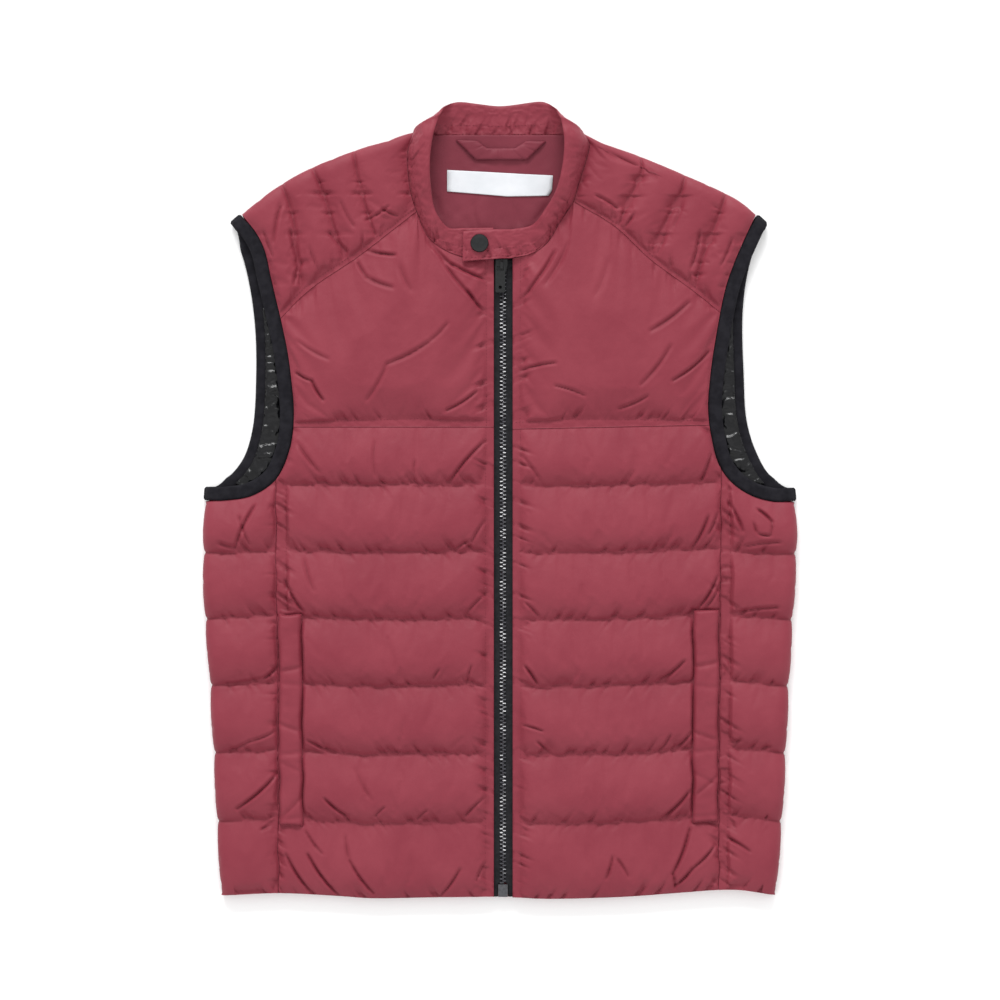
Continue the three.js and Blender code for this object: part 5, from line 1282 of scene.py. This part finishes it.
def strip_section(middle, across, normal, thick):
    """Section of the binding: a little domed, with rounded edges."""
    half = BINDING_WIDTH / 2
    points = []
    for sign in (1, -1):
        for a in np.linspace(1, -1, 9) * sign:
            edge = math.sqrt(max(0.0, 1 - abs(a) ** 7))
            points.append(middle + across * a * half + normal * sign * (thick / 2) * (0.35 + 0.65 * edge))
    return points


def binding_sections(half):
    armhole, back, sign = half["armhole"], half["back_armhole"], half["sign"]
    up = np.array([0, 0, 1.0])
    level = (FRONT_INSIDE + 3) * FOLD_LEVEL
    top = FRONT_INSIDE + BINDING_FRONT_WALL

    def front_at(share):
        tangent = armhole.tangent(share)
        return armhole.at(share), np.array([tangent[1], -tangent[0]]) * -sign

    def back_at(share):
        edge = back_edge(half, share)[0]
        across = back.at(share) - edge
        return edge, across / np.linalg.norm(across)

    def station(plan, across, z, normal, thick, gap):
        middle = np.array([*(plan + across * (gap + BINDING_WIDTH / 2)), z])
        return strip_section(middle, np.array([*across, 0.0]), normal, thick)

    def on_front(share):
        plan, across = front_at(share)
        wobble = 0.25 * float(ripples.at(plan[0], plan[1], 14))
        z = FRONT_INSIDE + BINDING_FRONT_WALL / 2 + 0.12
        return station(plan, across, z + wobble, up, BINDING_FRONT_WALL, BINDING_FRONT_GAP)

    def on_back(share):
        plan, across = back_at(share)
        return station(plan, across, BINDING_BACK_WALL / 2, -up, BINDING_BACK_WALL, BINDING_BACK_GAP)

    def turned(degrees, at_side, fold_across):
        turn = math.radians(degrees)
        upper = degrees >= 0
        thick = lerp(BINDING_BACK_WALL, BINDING_FRONT_WALL, (degrees + 90) / 180)
        away = thick / 2 + ((FOLD_UPPER if upper else FOLD_LOWER) - thick / 2) * (1 - math.cos(turn))
        length = armhole.length if upper else back.length
        share = 1 - away / length if at_side else away / length
        plan, flat_across = front_at(share) if upper else back_at(share)
        across = lerp(fold_across, flat_across, abs(math.sin(turn)))
        across = across / np.linalg.norm(across)
        inward = np.array([across[1], -across[0], 0.0]) * (-sign if at_side else sign)
        height = top - thick / 2 - level if upper else level - thick / 2
        normal = up * math.sin(turn) - inward * math.cos(turn)
        return station(plan, across, level + height * math.sin(turn), normal, thick, BINDING_TURN_GAP)

    turns = (75, 60, 45, 30, 15, 0, -15, -30, -45, -60, -75)
    side_across = -half["side"].tangent(0.002)
    shoulder_across = half["shoulder"].tangent(0.998)
    upper = FOLD_UPPER / armhole.length
    lower = FOLD_LOWER / back.length
    return [
        *(on_front(share) for share in np.linspace(upper, 1 - upper, 130)),
        *(turned(degrees, True, side_across) for degrees in turns),
        *(on_back(share) for share in np.linspace(1 - lower, lower, 100)),
        *(turned(degrees, False, shoulder_across) for degrees in reversed(turns)),
    ]


for half in halves:
    side = half["name"]
    sections = np.array(binding_sections(half))
    sections[..., 2] = np.maximum(sections[..., 2], 0)
    binding = closed_tube(f"binding_{side}_strip", sections, binding_knit)
    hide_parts(f"binding_{side}")
    grid = settled["lining", side]
    hidden = linings[side]
    grid[..., 2] = np.where(hidden, SKIN_UNDER + SKIN_WALL, np.clip(grid[..., 2], 6.9, 10.5))
    lining = closed_wall(f"lining_{side}_crinkled", grid, lift(grid, 0.8), lining_nylon)
    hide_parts(f"lining_{side}")
    long = np.linalg.norm(np.diff(grid[:, 8], axis=0), axis=1).sum()
    wide = np.linalg.norm(np.diff(grid, axis=1), axis=2).sum(1)


# Back panel: flat puffs rest on the ground, stitched lines lie a little higher

def back_grid():
    edges = []
    for half in halves:
        sign = half["sign"]
        a, b = back_share(half, BACK_YOKE_ARMHOLE_Y), back_share(half, BACK_SEAM_TOP)
        upper = back_edge(half, np.linspace(a, b, 90))
        hem_y = half["hem"].at(half["hem_out"])[1]
        low = np.array([sign * BACK_SEAM_X, hem_y])
        edge = np.vstack([upper, lerp(upper[-1], low, np.linspace(0, 1, 150)[1:, None])])
        edges.append(edge - np.array([sign * SEAM_GAP, SEAM_GAP]))
    rows = len(edges[0])
    u = np.linspace(0, 1, 150)
    yoke_y = np.interp(u, [0, 0.34, 0.4, 0.6, 0.66, 1], [
        edges[0][0][1], 320.2, 319.8, 319.8, 320.2, edges[1][0][1]])
    top = np.stack([lerp(edges[0][0][0], edges[1][0][0], u), yoke_y - SEAM_GAP - 0.4], -1)
    x = lerp(edges[0][-1][0], edges[1][-1][0], u)
    hem = np.vstack([LEFT["hem"][::-1], RIGHT["hem"]])
    bottom = np.stack([x, np.interp(x, hem[:, 0], hem[:, 1])], -1)
    bottom[0], bottom[-1] = edges[0][-1], edges[1][-1]
    v = np.linspace(0, 1, rows)
    plan = patch(top, bottom, edges[0], edges[1], v, u)
    lines = np.array([*LINE_Y, LINE_Y[0] + 55, LINE_Y[0] + 110, LINE_Y[0] + 165])
    nearest = np.abs(plan[..., 1][..., None] - lines).min(-1)
    under = 1.8 * np.exp(-(nearest / 5) ** 2) + 0.25 * (1 + ripples.at(plan[..., 0], plan[..., 1], 9))
    top_z = np.full(plan.shape[:2], BACK_TOP)
    trough = smooth(plan[..., 0], -15, -9) * (1 - smooth(plan[..., 0], 14, 20)) * (plan[..., 1] < 214)
    return with_z(plan, top_z - 2 * trough), with_z(plan, under)


back_top, back_under = back_grid()
back = closed_wall("back_panel_quilted", back_top, back_under, shell)
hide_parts("back_panel")


# Neck facing, label and hanger loop

def facing_top(x, y):
    wide = 0.55 * waves.at(x, y, 21) + 0.2 * ripples.at(x, y, 8)
    middle = smooth(np.hypot(x / 80, (y - 268) / 48), 1.05, 0.6)
    folded = creases(x, y, FACING_CREASES) * smooth(267 - y, -2, 2)
    return SKIN_UNDER + SKIN_WALL + 0.25 + (1.6 * wide - folded) * middle


# the facing wears the darker copy of the shell colour, painted shade
facing = closed_plate("neck_facing_cloth", FACING, facing_top, SKIN_WALL, shaded_facing_cloth, 44, 2)
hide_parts("neck_facing")

label = closed_plate(
    "neck_label_bare", LABEL, lambda x, y: facing_top(x, y) + 1.0 + 0.0 * x, 0.6, label_satin, 12, 2.5)
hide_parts("neck_label")


def strip_between(lower, upper, rows, shares, count=70):
    """Grid between two bent lines of the plan that share the places of their corners."""
    t = np.linspace(0, 1, count)
    at = lambda line: np.stack([np.interp(t, shares, np.array(line)[:, k]) for k in (0, 1)], -1)
    a, b = at(lower), at(upper)
    return lerp(a[None], b[None], np.linspace(0, 1, rows)[:, None, None])


loop_plan = strip_between(LOOP[:4], LOOP[:3:-1], 9, (0, 0.27, 0.73, 1))
across = np.linspace(0, 1, 9)[:, None]
loop_z = facing_top(loop_plan[..., 0], loop_plan[..., 1]) + 1.5 + 0.9 * arch(across)
loop_z = loop_z + 1.4 * arch(np.linspace(0, 1, 70))[None]
loop_z = loop_z + 0.3 * ripples.at(loop_plan[..., 0], loop_plan[..., 1], 6)
loop_along = np.broadcast_to(110 * np.linspace(0, 1, 70)[None], loop_z.shape)
loop_z = loop_z - gathers(loop_along, 10 * across, 80, 0.9) - gathers(loop_along, 10 * (1 - across), 81, 0.5)
loop_grid = with_z(loop_plan, loop_z)
# the loop wears the darker copy of the shell colour, painted shade
loop = closed_wall("hanger_loop_strap", loop_grid, lift(loop_grid, 1.1), shaded_facing_cloth)
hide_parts("hanger_loop")


# Pocket welts, made from the front's own points

for half in halves:
    side = half["name"]
    front = built[side]["front"]
    rows, columns = front["welt"]
    own = front["outer"][rows, columns]
    end_steps, side_steps = (
        np.minimum(np.arange(count), np.arange(count)[::-1]) * STEP / 2 for count in own.shape[:2])
    round_off = round_edge(side_steps, 4)[None] * round_edge(end_steps, 3)[:, None]
    x, y = own[..., 0], own[..., 1]
    folds = sum(deep * np.exp(-((y - at - lean * (x - own[:, :1, 0])) / 2.4) ** 2) for at, deep, lean in (
        (-147, 1.7, 0.2), (-163, 0.8, -0.1), (-204, 1.4, -0.35), (-222, 1.0, 0.12), (-240, 0.8, -0.5),
        (-262, 1.5, 0.9), (-279, 0.9, 0.1)))
    height = 0.6 + 2.0 * round_off + 0.35 * waves.at(x, y, 14) * round_off - folds * round_off
    outer = own.copy()
    outer[..., 2] = own[..., 2] + 1.2 + height
    under = own.copy()
    under[..., 2] = own[..., 2] + 0.35
    welt = closed_wall(f"welt_{side}_strip", outer, under, shell)
    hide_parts(f"welt_{side}")
    long = np.linalg.norm(outer[-1, 0] - outer[0, 0])
    wide = np.linalg.norm(outer[0, -1] - outer[0, 0])
    topstitching.append(outer[:2].mean(0)[1:-1] + [0, 0, 0.2])
    topstitching.append(outer[-2:].mean(0)[1:-1] + [0, 0, 0.2])


# Topstitching along the placket, the chest seam, the yoke seam and the princess seams

for half in halves:
    made = built[half["name"]]
    topstitching.append(made["front"]["outer"][:, 2 * made["front"]["marks"][1]])
    topstitching.append(made["chest"]["outer"][:, 2 * made["chest"]["placket"]])
    topstitching.append(made["chest"]["outer"][2 * made["chest"]["topstitch"]])
    topstitching.append(made["yoke"]["outer"][:, 2 * made["yoke"]["topstitch"]])
    if half["sign"] < 0:
        banded, column = made["front"]["band"]
        topstitching.append(made["front"]["outer"][banded, column])
    else:
        topstitching.append(made["side"]["outer"][:, 2 * made["side"]["marks"][1]])
topstitching.append(collar_outer[:, 4])
topstitching.append(collar_outer[:, 14])
topstitching.append(collar_inner[:, -9])
thread = stitches("topstitching", topstitching, shell_thread)


# Zip

ZIP_TOP = 213.0
ZIP_BOTTOM = -349.6
TAPE_UNDER = 6.5
TAPE_WALL = 1.2
TAPE_HIDDEN = 9.0
BOX_WIDE = 8.4
BOX_LENGTH = 11.0
CHAIN_UNDER = 5.6
CHAIN_TOP = 8.8
CHAIN_TOP_Y = 210.3
TOOTH_PITCH = 3.4
TAPE_IN_TEETH = 1.9

for half in halves:
    side, sign = half["name"], half["sign"]
    hidden = half["zip"] + sign * TAPE_HIDDEN
    y = np.linspace(ZIP_BOTTOM, ZIP_TOP - 1, 260)
    at_box = y < ZIP_BOTTOM + BOX_LENGTH + 1
    beside = np.where(at_box, BOX_WIDE / 2 + PIECE_GAP, CHAIN_WIDE / 2 - TAPE_IN_TEETH)
    shares = np.linspace(0, 1, 7)
    x = lerp(hidden, ZIP_X + sign * beside[:, None], shares[None])
    plan = np.stack(np.broadcast_arrays(x, y[:, None]), -1)
    z = TAPE_UNDER + TAPE_WALL + 0.12 * ripples.at(plan[..., 0], plan[..., 1], 8)
    grid = with_z(plan, z)
    tape = closed_wall(f"zip_tape_{side}_weave", grid, lift(grid, TAPE_WALL), tape_weave)
    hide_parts(f"zip_tape_{side}")


def tooth(sign, y):
    """One moulded tooth: a root on its tape, a wider head past the middle and a sloped top."""
    outline = [
        (3.1, -0.75), (1.0, -0.75), (0.3, -0.95), (-0.85, -0.8),
        (-0.85, 0.8), (0.3, 0.95), (1.0, 0.75), (3.1, 0.75)]
    points = np.array([(ZIP_X + sign * a, y + b) for a, b in outline])
    middle = np.array([ZIP_X + sign * 1.8, y])
    inset = lerp(points, middle, 0.45)
    slope = 0.5 + 0.35 * ripples.at(3 * sign, y, 9)
    top = CHAIN_TOP - slope * (0.5 + inset[:, 1] - y)
    top = np.minimum(top, CHAIN_TOP)
    rings = [with_z(points, CHAIN_UNDER), with_z(points, CHAIN_TOP - 1.0), with_z(inset, top)]
    count = len(outline)
    faces = []
    for ring in (0, 1):
        for k in range(count):
            a, b = ring * count + k, ring * count + (k + 1) % count
            faces.append([a, b, b + count, a + count])
    faces.append(list(range(count))[::-1])
    faces.append([2 * count + k for k in range(count)])
    if sign > 0:
        faces = [face[::-1] for face in faces]
    return np.vstack(rings), faces


chain_vertices, chain_faces = [], []
for sign in (-1, 1):
    first = ZIP_BOTTOM + BOX_LENGTH + 1.3 + (TOOTH_PITCH / 2 if sign > 0 else 0)
    for y in np.arange(first, CHAIN_TOP_Y - 1, TOOTH_PITCH):
        points, faces = tooth(sign, y)
        base = sum(len(part) for part in chain_vertices)
        chain_vertices.append(points)
        chain_faces.extend([[index + base for index in face] for face in faces])
chain = add_object(
    "zip_chain_teeth", np.vstack(chain_vertices), chain_faces, teeth_plastic, smooth_faces=False)
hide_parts("zip_chain")

for name in ("zip_box", "zip_slider", "zip_pull", "snap_cap"):
    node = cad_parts[name]
    finish = teeth_plastic if name == "zip_box" else black_metal
    if not node.material_slots:
        node.data.materials.append(finish)
    for place in node.material_slots:
        place.material = finish


# Floor, light and camera

FLOOR_SIZE = 6.0
CAMERA_HEIGHT = 2.444
VIEW_PLANE = 0.012


def floor():
    half = FLOOR_SIZE / 2
    mesh = bpy.data.meshes.new("floor")
    corners = [(-half, -half, 0), (half, -half, 0), (half, half, 0), (-half, half, 0)]
    mesh.from_pydata(corners, [], [(0, 1, 2, 3)])
    material = new_material("floor_paper", roughness=0.9, specular=0.1)
    material.node_tree.nodes["Principled BSDF"].inputs["Base Color"].default_value = (1, 1, 1, 1)
    mesh.materials.append(material)
    obj = bpy.data.objects.new("floor", mesh)
    bpy.context.scene.collection.objects.link(obj)
    obj.location.z = -0.0004


def area_light(name, place, target, size, power):
    data = bpy.data.lights.new(name, "AREA")
    data.shape = "RECTANGLE"
    data.size, data.size_y = size
    data.energy = power
    light = bpy.data.objects.new(name, data)
    bpy.context.scene.collection.objects.link(light)
    light.location = place
    light.rotation_euler = (Vector(target) - Vector(place)).to_track_quat("-Z", "Y").to_euler()


floor()
area_light("key", (-0.6, 5.0, 2.9), (0, 0, 0), (3.0, 1.4), 262)
area_light("fill", (0.3, -1.6, 2.6), (0, 0, 0), (3.0, 3.0), 9)
world = bpy.data.worlds.new("studio")
world.use_nodes = True
world.node_tree.nodes["Background"].inputs["Color"].default_value = (1, 1, 1, 1)
world.node_tree.nodes["Background"].inputs["Strength"].default_value = 0.96
bpy.context.scene.world = world

camera_data = bpy.data.cameras.new("camera")
camera_data.lens = 100
camera_data.sensor_width = 36
camera = bpy.data.objects.new("camera", camera_data)
bpy.context.scene.collection.objects.link(camera)
camera.location = (0, 0, CAMERA_HEIGHT + VIEW_PLANE)
bpy.context.scene.camera = camera
bpy.context.scene.view_settings.view_transform = "Standard"
